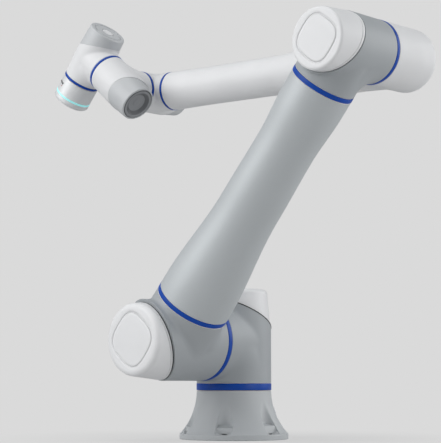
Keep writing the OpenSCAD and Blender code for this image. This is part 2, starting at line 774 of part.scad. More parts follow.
module light_ring() {
    color("#a8e6e8") at_wrist3()
        ring_at(tool_r + ring_proud, tool_r - ring_t + seat_fit, light_z, light_z + light_w);
}
module tool_flange() {
    body_h = tool_face - flange_start;
    color("#c9ccd0") at_wrist3() translate([0, 0, flange_start]) difference() {
        union() {
            mirror([0, 0, 1]) turned() polygon(concat(
                [[0, 0], [tool_r, 0]],
                lower_round(tool_r, body_h - 2, lip_t, 6),
                [[0, 2 - body_h]]
            ));
            cylinder(d = flange_d, h = body_h);
            translate([0, 0, -spigot_t]) cylinder(r = tool_bore_r - seat_fit, h = spigot_t + 1);
        }
        translate([0, 0, body_h - centring_t]) cylinder(d = centring_d, h = centring_t + 1);
        translate([0, 0, -spigot_t - 1]) cylinder(r = cable_bore_r, h = tool_face);
        for (i = [0:3]) rotate([0, 0, 90 * i + 45]) translate([flange_pcd / 2, 0, flange_floor])
            cylinder(d = flange_hole_d, h = body_h);
        translate([flange_pcd / 2, 0, body_h - locating_t])
            cylinder(d = locating_d, h = locating_t + 1);
    }
}
lamp_d = 2.4;
module status_lamp() {
    color("#c8453c") at_wrist3() rotate([0, 0, buttons_turn - button_step])
        translate([tool_r - button_len + 0.2, 0, button_z + 5]) rotate([0, 90, 0])
            cylinder(d = lamp_d, h = button_len, $fn = 32);
}
module button(i) {
    color(dark_rubber) at_wrist3() rotate([0, 0, buttons_turn + i * button_step])
        translate([tool_r - button_len + button_out, 0, button_z]) rotate([0, 90, 0])
            cylinder(d = button_d, h = button_len, $fn = 32);
}
module button_1() { button(-1); }
module button_2() { button(0); }
module button_3() { button(1); }

base_foot();
base_socket();
base_output();
shoulder_housing();
shoulder_gasket();
shoulder_top_cap();
shoulder_top_panel();
base_ring();
base_motor();
base_reducer();
shoulder_output();
lower_joint_housing();
lower_joint_gasket();
lower_joint_cap();
lower_joint_panel();
shoulder_ring();
shoulder_motor();
shoulder_reducer();
lower_tube_ring();
upper_arm_tube();
upper_tube_ring();
upper_joint_housing();
upper_joint_gasket();
upper_joint_cap();
upper_joint_panel();
elbow_ring();
elbow_motor();
elbow_reducer();
elbow_output();
forearm_elbow();
forearm_tube();
forearm_ring();
wrist_1_housing();
wrist_1_cap();
wrist_1_dish();
wrist_1_ring();
wrist_1_motor();
wrist_1_reducer();
wrist_1_output();
wrist_2_housing();
wrist_2_cap();
wrist_2_dish();
wrist_2_ring();
wrist_2_motor();
wrist_2_reducer();
wrist_2_output();
wrist_3_housing();
wrist_3_cap();
wrist_3_disc();
wrist_3_ring();
wrist_3_motor();
wrist_3_reducer();
wrist_3_output();
tool_housing();
light_ring();
tool_flange();
status_lamp();
button_1();
button_2();
button_3();
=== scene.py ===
# %% [markdown]
# # Collaborative robot arm
# A six-axis arm is a chain of mitred joint housings, moulded caps and drawn tubes, held together by
# drives that nobody sees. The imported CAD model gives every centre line, seam and diameter, so this
# script only loads it once and then dresses it: each new piece is measured off the node that it
# stands for.

# %% Load the frame
import json
import math
from types import SimpleNamespace

import bmesh
import bpy
import numpy as np
from mathutils import Matrix, Vector


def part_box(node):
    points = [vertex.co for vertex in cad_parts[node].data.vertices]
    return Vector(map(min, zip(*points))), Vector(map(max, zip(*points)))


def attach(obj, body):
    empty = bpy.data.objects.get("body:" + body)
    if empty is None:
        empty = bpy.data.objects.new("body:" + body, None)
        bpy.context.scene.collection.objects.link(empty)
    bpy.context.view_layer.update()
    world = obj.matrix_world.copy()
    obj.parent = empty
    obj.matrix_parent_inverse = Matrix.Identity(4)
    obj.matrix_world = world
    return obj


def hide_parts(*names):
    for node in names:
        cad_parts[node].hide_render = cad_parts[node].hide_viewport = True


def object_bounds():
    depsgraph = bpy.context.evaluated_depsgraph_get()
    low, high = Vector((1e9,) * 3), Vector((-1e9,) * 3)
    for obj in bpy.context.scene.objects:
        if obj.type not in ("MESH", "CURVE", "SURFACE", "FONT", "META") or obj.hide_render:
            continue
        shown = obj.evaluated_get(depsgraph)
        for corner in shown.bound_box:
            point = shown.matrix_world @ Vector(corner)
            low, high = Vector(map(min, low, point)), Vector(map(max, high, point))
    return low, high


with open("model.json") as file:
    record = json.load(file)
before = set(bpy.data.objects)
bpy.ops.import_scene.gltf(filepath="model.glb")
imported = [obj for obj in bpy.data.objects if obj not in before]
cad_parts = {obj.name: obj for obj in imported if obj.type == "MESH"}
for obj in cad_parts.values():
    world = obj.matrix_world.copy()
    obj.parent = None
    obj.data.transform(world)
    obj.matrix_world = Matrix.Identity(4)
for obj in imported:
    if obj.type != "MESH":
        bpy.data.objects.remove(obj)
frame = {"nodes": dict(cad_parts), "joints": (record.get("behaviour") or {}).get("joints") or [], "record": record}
cad_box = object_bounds()
MM = 0.001


def new_object(name, data):
    """An object in the scene that shows some data."""
    obj = bpy.data.objects.new(name, data)
    bpy.context.scene.collection.objects.link(obj)
    return obj

# %% [markdown]
# ## Where the joints are
# A joint turns about its own Z, which points through its seam at the next link, and its branch leaves
# along X. The record gives each joint's centre and axis. The forearm's elbow has no joint of its own:
# it lies on the elbow's axis, beside the upper arm, level with the first wrist.

# %% Joint centres and places
joints = {joint["name"]: joint for joint in frame["joints"]}


def centre(joint):
    return Vector(joints[joint]["pos_m"])


def place(origin, x, z):
    """The matrix that takes a piece from its joint's own frame to the arm's frame."""
    columns = Matrix((x, z.cross(x), z)).transposed().to_4x4()
    return Matrix.Translation(origin) @ columns


UP = Vector((0, 0, 1))
BACK = Vector((0, 1, 0))
upper_way = (centre("elbow_tilt") - centre("shoulder_tilt")).normalized()
fore_centre = Vector((centre("elbow_tilt").x, centre("wrist_1_tilt").y, centre("elbow_tilt").z))
fore_way = (centre("wrist_1_tilt") - fore_centre).normalized()
wrist_way = Vector(joints["wrist_2_turn"]["axis"]).normalized()
tool_way = Vector(joints["wrist_3_turn"]["axis"]).normalized()

at_base = place(centre("base_turn"), -BACK, -UP)
at_shoulder = place(centre("shoulder_tilt"), upper_way, BACK)
at_elbow = place(centre("elbow_tilt"), -upper_way, BACK)
at_fore = place(fore_centre, fore_way, -BACK)
at_wrist_1 = place(centre("wrist_1_tilt"), -fore_way, -BACK)
at_wrist_2 = place(centre("wrist_2_turn"), BACK, wrist_way)
at_wrist_3 = place(centre("wrist_3_turn"), -wrist_way, tool_way)
print("upper arm leans", round(math.degrees(upper_way.angle(UP)), 1), "degrees")

# %% [markdown]
# ## Measuring the nodes
# A rule against the CAD part replaces a table of sizes: how far a node reaches along one of its
# joint's axes, and how wide it is around it. Every diameter below comes from such a reading.

# %% Rulers
def local_points(node, at):
    """A node's points in the frame of the joint that it belongs to."""
    mesh = frame["nodes"][node].data
    flat = np.empty(len(mesh.vertices) * 3, np.float32)
    mesh.vertices.foreach_get("co", flat)
    back = np.array(at.inverted())
    return flat.reshape(-1, 3) @ back[:3, :3].T + back[:3, 3]


def span(node, at, axis=2):
    """Lowest and highest place along an axis, 0 for X and 2 for Z, and the largest radius round it."""
    points = local_points(node, at)
    across = np.delete(points, axis, 1)
    return (float(points[:, axis].min()), float(points[:, axis].max()),
            float(np.hypot(*across.T).max()))


def radius_at(node, at, level, axis=2):
    """A node's radius round an axis, at one place along it."""
    points = local_points(node, at)
    near = np.abs(points[:, axis] - level) < 0.1 * MM
    return float(np.hypot(*np.delete(points[near], axis, 1).T).max())


SEAM_SLOPE = math.radians(25)
SEAM_NORMAL = Vector((math.sin(SEAM_SLOPE), 0, math.cos(SEAM_SLOPE)))


def seam_levels(node, at):
    """Where a node starts and ends along the normal of the slanted cap seams."""
    along = local_points(node, at) @ np.array(SEAM_NORMAL)
    return float(along.min()), float(along.max())


print("foot is", round(span("base_foot", Matrix())[2] * 2 / MM, 1), "mm wide")

# %% [markdown]
# ## The camera
# A long lens stands low and looks slightly up along the arm, so that the foot shows its side and the
# caps show nearly face on. A lens as long as this keeps upright things upright and the far wrist
# nearly as large as the near shoulder.

# %% Camera
# Places are in metres, the lens and sensor in millimetres. The camera sees as far as the floor reaches.
CAMERA_AT = Vector((1.8905, -2.1344, 0.1137))
CAMERA_BACK = Vector((0.66619, -0.73927, -0.09838)).normalized()
LENS = 126.8
SENSOR = 36
FLOOR_HALF = 30

camera_data = bpy.data.cameras.new("Camera")
camera_data.lens = LENS
camera_data.sensor_width = SENSOR
camera_data.clip_end = FLOOR_HALF
camera = new_object("Camera", camera_data)
camera_right = UP.cross(CAMERA_BACK).normalized()
camera.matrix_world = place(CAMERA_AT, camera_right, CAMERA_BACK)
bpy.context.scene.camera = camera
print("lens", camera_data.lens, "mm")

# %% [markdown]
# ## Nodes for the finishes
# Colours are written as they look on a screen and turned to linear light here. One helper adds a
# shader node with its settings, its plain values and its links, a second one starts a material with
# coordinates that stay on the piece, and two more give a finish its grain and its tones.

# %% Shader helpers
def linear(colour):
    """A screen colour such as #969a9e as linear red, green, blue and alpha."""
    parts = [int(colour[i:i + 2], 16) / 255 for i in (1, 3, 5)]
    return [p / 12.92 if p <= 0.04045 else ((p + 0.055) / 1.055) ** 2.4 for p in parts] + [1]


def add(tree, kind, inputs=None, **settings):
    """Adds one node. Each input gets a plain value, or a link where it is given another's output."""
    node = tree.nodes.new(kind)
    for name, value in settings.items():
        setattr(node, name, value)
    for name, value in (inputs or {}).items():
        if isinstance(value, bpy.types.NodeSocket):
            tree.links.new(value, node.inputs[name])
        else:
            node.inputs[name].default_value = value
    return node


def start_material(name):
    """An empty material, its node tree and the piece's own coordinates in metres."""
    material = bpy.data.materials.new(name)
    material.use_nodes = True
    tree = material.node_tree
    tree.nodes.clear()
    print("material", name)
    return material, tree, add(tree, "ShaderNodeTexCoord").outputs["Object"]


def per_mm(size):
    """The scale of a pattern whose cells are so many millimetres across."""
    return 1 / (size * MM)


def grained(tree, spot, size, detail, strength, height, under=None):
    """A skin with grains so many millimetres across: the pattern itself, and the bumps it makes. It
    may lie on the bumps of a coarser one."""
    grain = add(tree, "ShaderNodeTexNoise", {
        "Vector": spot, "Scale": per_mm(size), "Detail": detail})
    bumps = add(tree, "ShaderNodeBump", {
        "Height": grain.outputs["Fac"], "Strength": strength, "Distance": height * MM})
    if under:
        tree.links.new(under, bumps.inputs["Normal"])
    return grain.outputs["Fac"], bumps.outputs["Normal"]


COLOUR_A, COLOUR_B, COLOUR_OUT = 6, 7, 2


def two_tones(tree, pattern, low, high):
    """A colour that leads from low to high over the middle of a pattern's range. A Mix node keeps
    its colour sockets behind those for numbers and vectors, so they are named by their places."""
    share = add(tree, "ShaderNodeMapRange", {"Value": pattern, "From Min": 0.3, "From Max": 0.7})
    tones = add(tree, "ShaderNodeMix", {
        "Factor": share.outputs["Result"], COLOUR_A: linear(low), COLOUR_B: linear(high)},
        data_type="RGBA")
    return tones.outputs[COLOUR_OUT]

# %% [markdown]
# ## Powder-coated casting
# The foot and the big joint housings are cast aluminium under a satin grey powder coat. The powder
# melts into a skin with a faint orange peel about two millimetres across, which breaks up the
# highlights, and its colour is even but for a slow drift over a hand's width. The foot gets a lighter
# copy of the same coat, which is painted light on its upturned flare.

# %% Powder coat
def powder_coat(name, low, high, roughness):
    material, tree, spot = start_material(name)
    drift = add(tree, "ShaderNodeTexNoise", {"Vector": spot, "Scale": per_mm(90), "Detail": 3.0})
    gloss = add(tree, "ShaderNodeMapRange", {
        "Value": drift.outputs["Fac"], "To Min": roughness - 0.03, "To Max": roughness + 0.03})
    _, peel = grained(tree, spot, 2.2, 2.0, 0.25, 0.06)
    _, skin = grained(tree, spot, 0.5, 1.0, 0.2, 0.02, under=peel)
    shader = add(tree, "ShaderNodeBsdfPrincipled", {
        "Base Color": two_tones(tree, drift.outputs["Fac"], low, high),
        "Roughness": gloss.outputs["Result"],
        "Normal": skin,
        "IOR": 1.48,
    })
    add(tree, "ShaderNodeOutputMaterial", {"Surface": shader.outputs["BSDF"]})
    return material


casting_coat = powder_coat("Powder_coated_casting", "#a1a5a8", "#a6aaad", 0.5)
# A lighter copy of the casting coat for the foot: painted light.
foot_coat_painted_light = powder_coat("Powder_coat_foot_painted_light", "#bbbec0", "#c0c3c5", 0.52)

# %% [markdown]
# ## Moulded plastic
# The caps, the wrists and the forearm's shell are injection-moulded in a hard satin plastic. The
# tool that moulds them is lightly spark-eroded, so the skin has a grain of about half a millimetre,
# too low to see as bumps but enough to soften what it mirrors. A thin clear coat gives the light rim.

# %% Satin plastic
def moulded_plastic(name, low, high, roughness, coat):
    material, tree, spot = start_material(name)
    drift = add(tree, "ShaderNodeTexNoise", {"Vector": spot, "Scale": per_mm(60), "Detail": 2.0})
    spark, skin = grained(tree, spot, 0.6, 3.0, 0.2, 0.02)
    gloss = add(tree, "ShaderNodeMapRange", {
        "Value": spark, "To Min": roughness - 0.04, "To Max": roughness + 0.04})
    shader = add(tree, "ShaderNodeBsdfPrincipled", {
        "Base Color": two_tones(tree, drift.outputs["Fac"], low, high),
        "Roughness": gloss.outputs["Result"],
        "Normal": skin,
        "IOR": 1.53,
        "Coat Weight": coat,
        "Coat Roughness": 0.25,
    })
    add(tree, "ShaderNodeOutputMaterial", {"Surface": shader.outputs["BSDF"]})
    return material


white_shell = moulded_plastic("Moulded_white_shell", "#dcdcdd", "#dfdfe0", 0.54, 0.05)
white_cover = moulded_plastic("Moulded_white_cover", "#e0e0e1", "#e3e3e4", 0.5, 0.06)
grey_cover = moulded_plastic("Moulded_grey_cover", "#bcbec0", "#c1c3c5", 0.46, 0.08)
dish_grey = moulded_plastic("Moulded_dark_dish", "#8a8c8f", "#909295", 0.42, 0.1)
# A darker copy of the dish's plastic for its slope and side: painted shade.
dish_painted_shade = moulded_plastic("Dish_painted_shade", "#626467", "#686a6d", 0.42, 0.1)

# %% [markdown]
# ## Silver lacquer
# The upper arm's tube is drawn aluminium with a silver lacquer. Tiny flakes in the lacquer lie almost
# flat, so it is brighter where it faces the lamps and falls off more at its edges than plain paint
# does. A part-metallic shader does the same, and fine noise makes the flakes sparkle a little.

# %% Silver lacquer
def silver_lacquer(name, low, high, metallic, roughness):
    material, tree, spot = start_material(name)
    drift = add(tree, "ShaderNodeTexNoise", {"Vector": spot, "Scale": per_mm(120), "Detail": 2.0})
    gloss = add(tree, "ShaderNodeMapRange", {
        "Value": drift.outputs["Fac"], "To Min": roughness - 0.03, "To Max": roughness + 0.03})
    flake, skin = grained(tree, spot, 0.4, 2.0, 0.15, 0.02)
    shader = add(tree, "ShaderNodeBsdfPrincipled", {
        "Base Color": two_tones(tree, flake, low, high),
        "Metallic": metallic,
        "Roughness": gloss.outputs["Result"],
        "Normal": skin,
    })
    add(tree, "ShaderNodeOutputMaterial", {"Surface": shader.outputs["BSDF"]})
    return material


silver_tube = silver_lacquer("Silver_lacquered_tube", "#b9bdbf", "#c1c5c7", 0.26, 0.53)
tool_metal = silver_lacquer("Satin_anodised_tool_end", "#dcddde", "#e2e3e4", 0.4, 0.48)
# A pale cream for narrow chamfers: a painted highlight, the thin bright line beside each ring.
painted_edge_highlight = silver_lacquer("Painted_edge_highlight", "#e9e1d3", "#efe7da", 0.1, 0.5)

# %% [markdown]
# ## Rings, rubber and steel
# The joint rings are a hard blue rubber moulded in one colour all through. The seals are black rubber
# with a dull, slightly dusty skin. The drives inside are turned steel, and so is the supply socket.
# Their tool marks run round the axis: a wave pattern in rings a millimetre apart gives them, which is
# coarser than real marks, so that they show. The rings run round Y, as the socket and most drives do.

# %% Ring, rubber and steel
def moulded_rubber(name, low, high, roughness, sheen=0.0, shine=0.5):
    material, tree, spot = start_material(name)
    bloom = add(tree, "ShaderNodeTexNoise", {"Vector": spot, "Scale": per_mm(14), "Detail": 4.0})
    _, skin = grained(tree, spot, 0.5, 2.0, 0.25, 0.02)
    shader = add(tree, "ShaderNodeBsdfPrincipled", {
        "Base Color": two_tones(tree, bloom.outputs["Fac"], low, high),
        "Roughness": roughness,
        "Normal": skin,
        "Specular IOR Level": shine,
        "Sheen Weight": sheen,
    })
    add(tree, "ShaderNodeOutputMaterial", {"Surface": shader.outputs["BSDF"]})
    return material


WAVE_LENGTH = math.tau / 20  # between two rings of a wave pattern whose scale is 1


def turned_steel(name, low, high):
    material, tree, spot = start_material(name)
    marks = add(tree, "ShaderNodeTexWave", {
        "Vector": spot, "Scale": per_mm(1.04) * WAVE_LENGTH, "Distortion": 0.4, "Detail": 1.0},
        wave_type="RINGS", rings_direction="Y")
    skin = add(tree, "ShaderNodeBump", {
        "Height": marks.outputs["Fac"], "Strength": 0.15, "Distance": 0.02 * MM})
    shader = add(tree, "ShaderNodeBsdfPrincipled", {
        "Base Color": two_tones(tree, marks.outputs["Fac"], low, high),
        "Metallic": 1.0,
        "Roughness": 0.34,
        "Normal": skin.outputs["Normal"],
    })
    add(tree, "ShaderNodeOutputMaterial", {"Surface": shader.outputs["BSDF"]})
    return material


blue_trim = moulded_rubber("Blue_joint_ring", "#00409c", "#0246a8", 0.4, shine=0.25)
black_rubber = moulded_rubber("Black_seal_rubber", "#1c1d1f", "#242527", 0.6, 0.1)
drive_steel = turned_steel("Turned_drive_steel", "#85888b", "#94979a")

# %% [markdown]
# ## Lenses
# The light ring at the tool end is a frosted tube with lamps behind it, so it glows a pale cyan and
# is a little uneven between one lamp and the next. The status lamp is a small red lens that is off.

# %% Lit ring and lamp
def frosted_lens(name, low, high, glow_colour, glow, patch):
    material, tree, spot = start_material(name)
    lamps = add(tree, "ShaderNodeTexNoise", {"Vector": spot, "Scale": per_mm(patch), "Detail": 1.0})
    _, frost = grained(tree, spot, 0.4, 2.0, 0.2, 0.02)
    shader = add(tree, "ShaderNodeBsdfPrincipled", {
        "Base Color": two_tones(tree, lamps.outputs["Fac"], low, high),
        "Roughness": 0.35,
        "Normal": frost,
        "IOR": 1.49,
        "Subsurface Weight": 0.1,
        "Subsurface Radius": (MM, MM, MM),
        "Emission Color": linear(glow_colour),
        "Emission Strength": glow,
    })
    add(tree, "ShaderNodeOutputMaterial", {"Surface": shader.outputs["BSDF"]})
    return material


light_lens = frosted_lens("Frosted_cyan_light_ring", "#a9e3e4", "#b8eeee", "#7fe9ea", 0.35, 12)
red_lens = frosted_lens("Red_status_lens", "#9c2a22", "#a83028", "#a83028", 0.05, 3)

# %% [markdown]
# ## Turning, lofting and cutting
# Nearly every piece here is turned or moulded round an axis, so three helpers do most of the work:
# one spins an outline, one lofts a skin through loops that may bulge towards a square, and one cuts a
# form with a plane and draws the cut's rim in by steps, which makes a chamfer or a neck.

# %% Shape helpers
TURNS = 160
HOLE_TURNS = 32
CHAMFER = 1.0 * MM
TINY = 1e-7
RIM_MERGE = 0.2 * MM


def turned(outline, sides=TURNS):
    """Spins an open outline of (radius, height) points in a full turn round Z."""
    bm = bmesh.new()
    verts = [bm.verts.new((radius, 0, height)) for radius, height in outline]
    for start, end in zip(verts, verts[1:]):
        bm.edges.new((start, end))
    bmesh.ops.spin(bm, geom=bm.verts[:] + bm.edges[:], axis=(0, 0, 1), cent=(0, 0, 0),
                   angle=math.tau, steps=sides, use_merge=True)
    bmesh.ops.remove_doubles(bm, verts=bm.verts[:], dist=TINY)
    bmesh.ops.recalc_face_normals(bm, faces=bm.faces[:])
    return bm


def squareness(angle, power):
    """How far a rounded square of half width 1 reaches in a direction. A power of 2 is a circle."""
    return (abs(math.cos(angle)) ** power + abs(math.sin(angle)) ** power) ** (-1 / power)


def by_angle(verts):
    return sorted(verts, key=lambda v: math.atan2(v.co.y, v.co.x))


def lofted(stations, sides=TURNS):
    """A skin through loops of (half width, height, power), closed at both ends."""
    bm = bmesh.new()
    bmesh.ops.create_circle(bm, cap_ends=False, radius=1, segments=sides)
    loop, edges = by_angle(bm.verts), bm.edges[:]
    first = edges
    angles = [math.atan2(v.co.y, v.co.x) for v in loop]
    for count, (half, height, power) in enumerate(stations):
        if count:
            grown = bmesh.ops.extrude_edge_only(bm, edges=edges)["geom"]
            edges = [g for g in grown if isinstance(g, bmesh.types.BMEdge)]
            loop = by_angle([g for g in grown if isinstance(g, bmesh.types.BMVert)])
        for vert, angle in zip(loop, angles):
            reach = half * squareness(angle, power)
            vert.co = (reach * math.cos(angle), reach * math.sin(angle), height)
    for rim in (first, edges):
        bmesh.ops.edgeloop_fill(bm, edges=rim)
    bmesh.ops.recalc_face_normals(bm, faces=bm.faces[:])
    return bm


def rounded_rim(radius, face, edge, steps=10):
    """A quarter round from the side at radius down to the face, as loft stations."""
    quarter = [math.pi / 2 * i / steps for i in range(steps + 1)]
    return [(radius - edge + edge * math.cos(a), face + edge - edge * math.sin(a), 2)
            for a in quarter]

# %% Cuts, bare edges and soft edges
def cut_end(bm, middle, normal, steps=(), axis=None):
    """Cuts off what lies beyond a plane through middle and draws the rim on by (advance, inset)
    steps. A slanted cut names its barrel's axis, so that each step follows the barrel."""
    middle, normal = Vector(middle), Vector(normal).normalized()
    forward = Vector(axis or normal)
    forward /= forward.dot(normal)
    bmesh.ops.bisect_plane(bm, geom=bm.verts[:] + bm.edges[:] + bm.faces[:], dist=TINY,
                           plane_co=middle, plane_no=normal, clear_outer=True)
    rim = [e for e in bm.edges if e.is_boundary]
    bmesh.ops.remove_doubles(bm, verts=list({v for e in rim for v in e.verts}), dist=RIM_MERGE)
    rim = [e for e in bm.edges if e.is_boundary]
    for advance, inset in steps:
        grown = bmesh.ops.extrude_edge_only(bm, edges=rim)["geom"]
        rim = [g for g in grown if isinstance(g, bmesh.types.BMEdge)]
        for vert in [g for g in grown if isinstance(g, bmesh.types.BMVert)]:
            out = vert.co - middle
            out -= out.dot(forward) / forward.length_squared * forward
            out = out.normalized()
            vert.co += advance * forward - inset * (out - out.dot(normal) * forward)
    bmesh.ops.edgeloop_fill(bm, edges=rim)


def seam_cut(bm, level, way, steps=()):
    """Cuts at a level along the slanted seam's normal. A way of 1 takes off the ring's side, and
    -1 the side of the cap's face."""
    cut_end(bm, (0, 0, level / SEAM_NORMAL.z), way * SEAM_NORMAL, steps, (0, 0, way))


def highlight_edges(bm, *edges):
    """Gives the narrow slanted faces at some (axis, level) edges the piece's second material, which unless the
    piece names another is a pale painted highlight.
    """
    bm.normal_update()
    for face in bm.faces:
        middle = face.calc_center_median()
        if any(abs(middle[axis] - level) < CHAMFER and 0.3 < abs(face.normal[axis]) < 0.95
               for axis, level in edges):
            face.material_index = 1


def soften(bm, width, least=25):
    """Rounds the edges that turn by more than some degrees."""
    sharp = [e for e in bm.edges if len(e.link_faces) == 2
             and e.calc_face_angle() > math.radians(least)]
    bmesh.ops.bevel(bm, geom=sharp, offset=width, offset_type="OFFSET", affect="EDGES",
                    segments=3, profile=0.5, material=-1, clamp_overlap=True)

# %% [markdown]
# ## From a mesh to a piece
# A finished piece sits at the origin with its place in its mesh and rides on the body of the node
# that it stands for. Edges that turn by more than about thirty degrees stay sharp and the rest is
# shaded as one smooth skin.

# %% Finishing a piece
CREASE = math.radians(32)
body_of_node = {node: body for body, nodes in frame["record"]["behaviour"]["bodies"].items()
                for node in nodes}


def piece(name, bm, at, material, slot, *nodes, second=None):
    """Puts a mesh in its place as a piece that stands for some nodes of one body."""
    bmesh.ops.transform(bm, matrix=at, verts=bm.verts[:])
    for face in bm.faces:
        face.smooth = True
    for edge in bm.edges:
        edge.smooth = len(edge.link_faces) != 2 or edge.calc_face_angle() < CREASE
    mesh = bpy.data.meshes.new(name)
    bm.to_mesh(mesh)
    bm.free()
    obj = new_object(name, mesh)
    mesh.materials.append(material)
    # A second material is the painted edge highlight, unless the piece names another.
    if any(face.material_index for face in mesh.polygons):
        mesh.materials.append(second or painted_edge_highlight)
    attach(obj, body_of_node[nodes[0]])
    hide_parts(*nodes)
    print(name, len(mesh.polygons), "faces")


def finish_node(node, material):
    """Gives a CAD node that keeps its shape its finish."""
    obj = frame["nodes"][node]
    obj.data.materials.clear()
    obj.data.materials.append(material)

# %% [markdown]
# ## Modifiers on the way
# Two steps are easier for a modifier than for an operator: a voxel remesh, which turns overlapping
# solids into one even skin, and a boolean, which drills holes. Each is put on a helper object, read
# back as a mesh and thrown away, so no piece keeps one.

# %% Remesh and drill
SLIVER = 0.002 * MM


def helper_object(bm):
    """A short-lived object that holds bm's mesh."""
    mesh = bpy.data.meshes.new("helper")
    bm.to_mesh(mesh)
    bm.free()
    return new_object("helper", mesh)


def thrown_away(helper):
    mesh = helper.data
    bpy.data.objects.remove(helper)
    bpy.data.meshes.remove(mesh)


def through_modifier(bm, kind, **settings):
    """The mesh that one modifier makes of bm, as a new bmesh."""
    helper = helper_object(bm)
    modifier = helper.modifiers.new("helper", kind)
    for name, value in settings.items():
        setattr(modifier, name, value)
    graph = bpy.context.evaluated_depsgraph_get()
    made = bmesh.new()
    made.from_mesh(helper.evaluated_get(graph).to_mesh())
    thrown_away(helper)
    return made


def drilled(bm, drills):
    """bm with the drills' solids taken out, and without the slivers that this leaves."""
    tool = helper_object(drills)
    made = through_modifier(bm, "BOOLEAN", operation="DIFFERENCE", solver="EXACT", object=tool)
    thrown_away(tool)
    bmesh.ops.remove_doubles(made, verts=made.verts[:], dist=SLIVER)
    bmesh.ops.dissolve_degenerate(made, edges=made.edges[:], dist=SLIVER)
    return made


def remeshed(bm, voxel):
    return through_modifier(bm, "REMESH", mode="VOXEL", voxel_size=voxel)


def rod(bm, start, end, radius, end_radius=None, sides=96):
    """Adds a closed cylinder or cone between two points."""
    start, end = Vector(start), Vector(end)
    way = end - start
    turn = way.to_track_quat("Z", "Y").to_matrix().to_4x4()
    bmesh.ops.create_cone(bm, cap_ends=True, segments=sides, radius1=radius,
                          radius2=end_radius or radius, depth=way.length,
                          matrix=Matrix.Translation((start + end) / 2) @ turn)

# %% [markdown]
# ## Blending the castings
# On the real arm the barrel, the branch and the bend between them are one casting whose surfaces
# flow together, while its ends are machined to true circles. A bevel can't do that where two
# cylinders cross. Here rough rods are remeshed into one skin, and each point is then moved onto the
# exact surfaces, given as distances. Where two surfaces meet at an angle their distances are blended
# over a few millimetres, and where they run side by side nothing changes.

# %% Distances and blends
def unit(vectors):
    return vectors / np.maximum(np.linalg.norm(vectors, axis=1, keepdims=True), 1e-9)


def round_z(points, radius):
    """Distance from a turned side of the given radius round Z, and the way out of it."""
    way = points * (1, 1, 0)
    return np.linalg.norm(way, axis=1) - radius, unit(way)


def round_x(points, radius):
    """The same for a side round X that starts as a ball at the joint's centre."""
    way = points * (0, 1, 1) + np.minimum(points[:, :1], 0) * (1, 0, 0)
    return np.linalg.norm(way, axis=1) - radius, unit(way)


def blended(first, second, size):
    """The union of two surfaces, rounded over size where they cross at a right angle."""
    (a, a_way), (b, b_way) = first, second
    reach = size * np.sqrt(1 - np.clip((a_way * b_way).sum(1), 0, 1)) + TINY
    share = np.clip(0.5 + (b - a) / (2 * reach), 0, 1)
    way = b_way + (a_way - b_way) * share[:, None]
    return b + (a - b) * share - reach * share * (1 - share), unit(way)


def joined(a, b, size):
    """The same for plain distances, with a blend as wide at every angle."""
    share = np.clip(0.5 + (b - a) / (2 * size), 0, 1)
    return b + (a - b) * share - size * share * (1 - share)


def settled(bm, field, rounds=4, moves=4):
    """Evens the mesh out and moves each point onto the surface where the field is zero."""
    for _ in range(rounds):
        bmesh.ops.smooth_vert(bm, verts=bm.verts[:], factor=0.5, use_axis_x=True,
                              use_axis_y=True, use_axis_z=True)
        points = np.array([v.co[:] for v in bm.verts])
        for _ in range(moves):
            distance, way = field(points)
            points -= distance[:, None] * way
        for vert, point in zip(bm.verts, points):
            vert.co = point

# %% [markdown]
# ## Sizes of a joint
# The six joints are built alike and differ only in size, so one function reads a joint's sizes off
# its nodes: the barrel from the cap, the seam from the ring, and the branch from where it ends.

# %% Joint sizes
RING_PROUD = 0.3 * MM
RING_DEEP = 2.4 * MM
ROOT_OVER = 3 * MM
THROAT_SHY = 0.2 * MM


def joint_sizes(at, housing, cap, ring, end_ring=None):
    """Radii of the barrel, seam and branch, and where they start and end from the joint's centre."""
    ring_start, seam, ring_r = span(ring, at)
    face, _, body_r = span(cap, at)
    sizes = SimpleNamespace(at=at, body_r=body_r, seam=seam, ring_start=ring_start,
                            seam_r=ring_r - RING_PROUD, face=face,
                            seam_level=seam_levels(housing, at)[0],
                            cap_level=seam_levels(cap, at)[1],
                            face_flat=radius_at(cap, at, face))
    if end_ring:
        sizes.branch_end, sizes.neck_end, end_r = span(end_ring, at, 0)
        sizes.branch_r = end_r - RING_PROUD
    else:
        sizes.branch_end = sizes.neck_end = span(housing, at, 0)[1]
        sizes.branch_r = radius_at(housing, at, sizes.branch_end, 0)
    sizes.root_r = min(body_r - MM, sizes.branch_r + ROOT_OVER)
    sizes.bend = min(ring_start, sizes.branch_end) - THROAT_SHY
    sizes.bend_r = min(sizes.seam_r, sizes.branch_r) - THROAT_SHY
    return sizes


base = joint_sizes(at_base, "shoulder_housing", "shoulder_top_cap", "base_ring")
shoulder = joint_sizes(at_shoulder, "lower_joint_housing", "lower_joint_cap", "shoulder_ring",
                       "lower_tube_ring")
elbow = joint_sizes(at_elbow, "upper_joint_housing", "upper_joint_cap", "elbow_ring",
                    "upper_tube_ring")
wrist_1 = joint_sizes(at_wrist_1, "wrist_1_housing", "wrist_1_cap", "wrist_1_ring",
                      "forearm_ring")
wrist_2 = joint_sizes(at_wrist_2, "wrist_2_housing", "wrist_2_cap", "wrist_2_ring")
wrist_3 = joint_sizes(at_wrist_3, "wrist_3_housing", "wrist_3_cap", "wrist_3_ring")
for name, sizes in (("base", base), ("shoulder", shoulder), ("elbow", elbow),
                    ("wrist 1", wrist_1), ("wrist 2", wrist_2), ("wrist 3", wrist_3)):
    print(name, "barrel", round(sizes.body_r / MM, 1), "branch", round(sizes.branch_r / MM, 1),
          "seam at", round(sizes.seam / MM, 1), "mm")

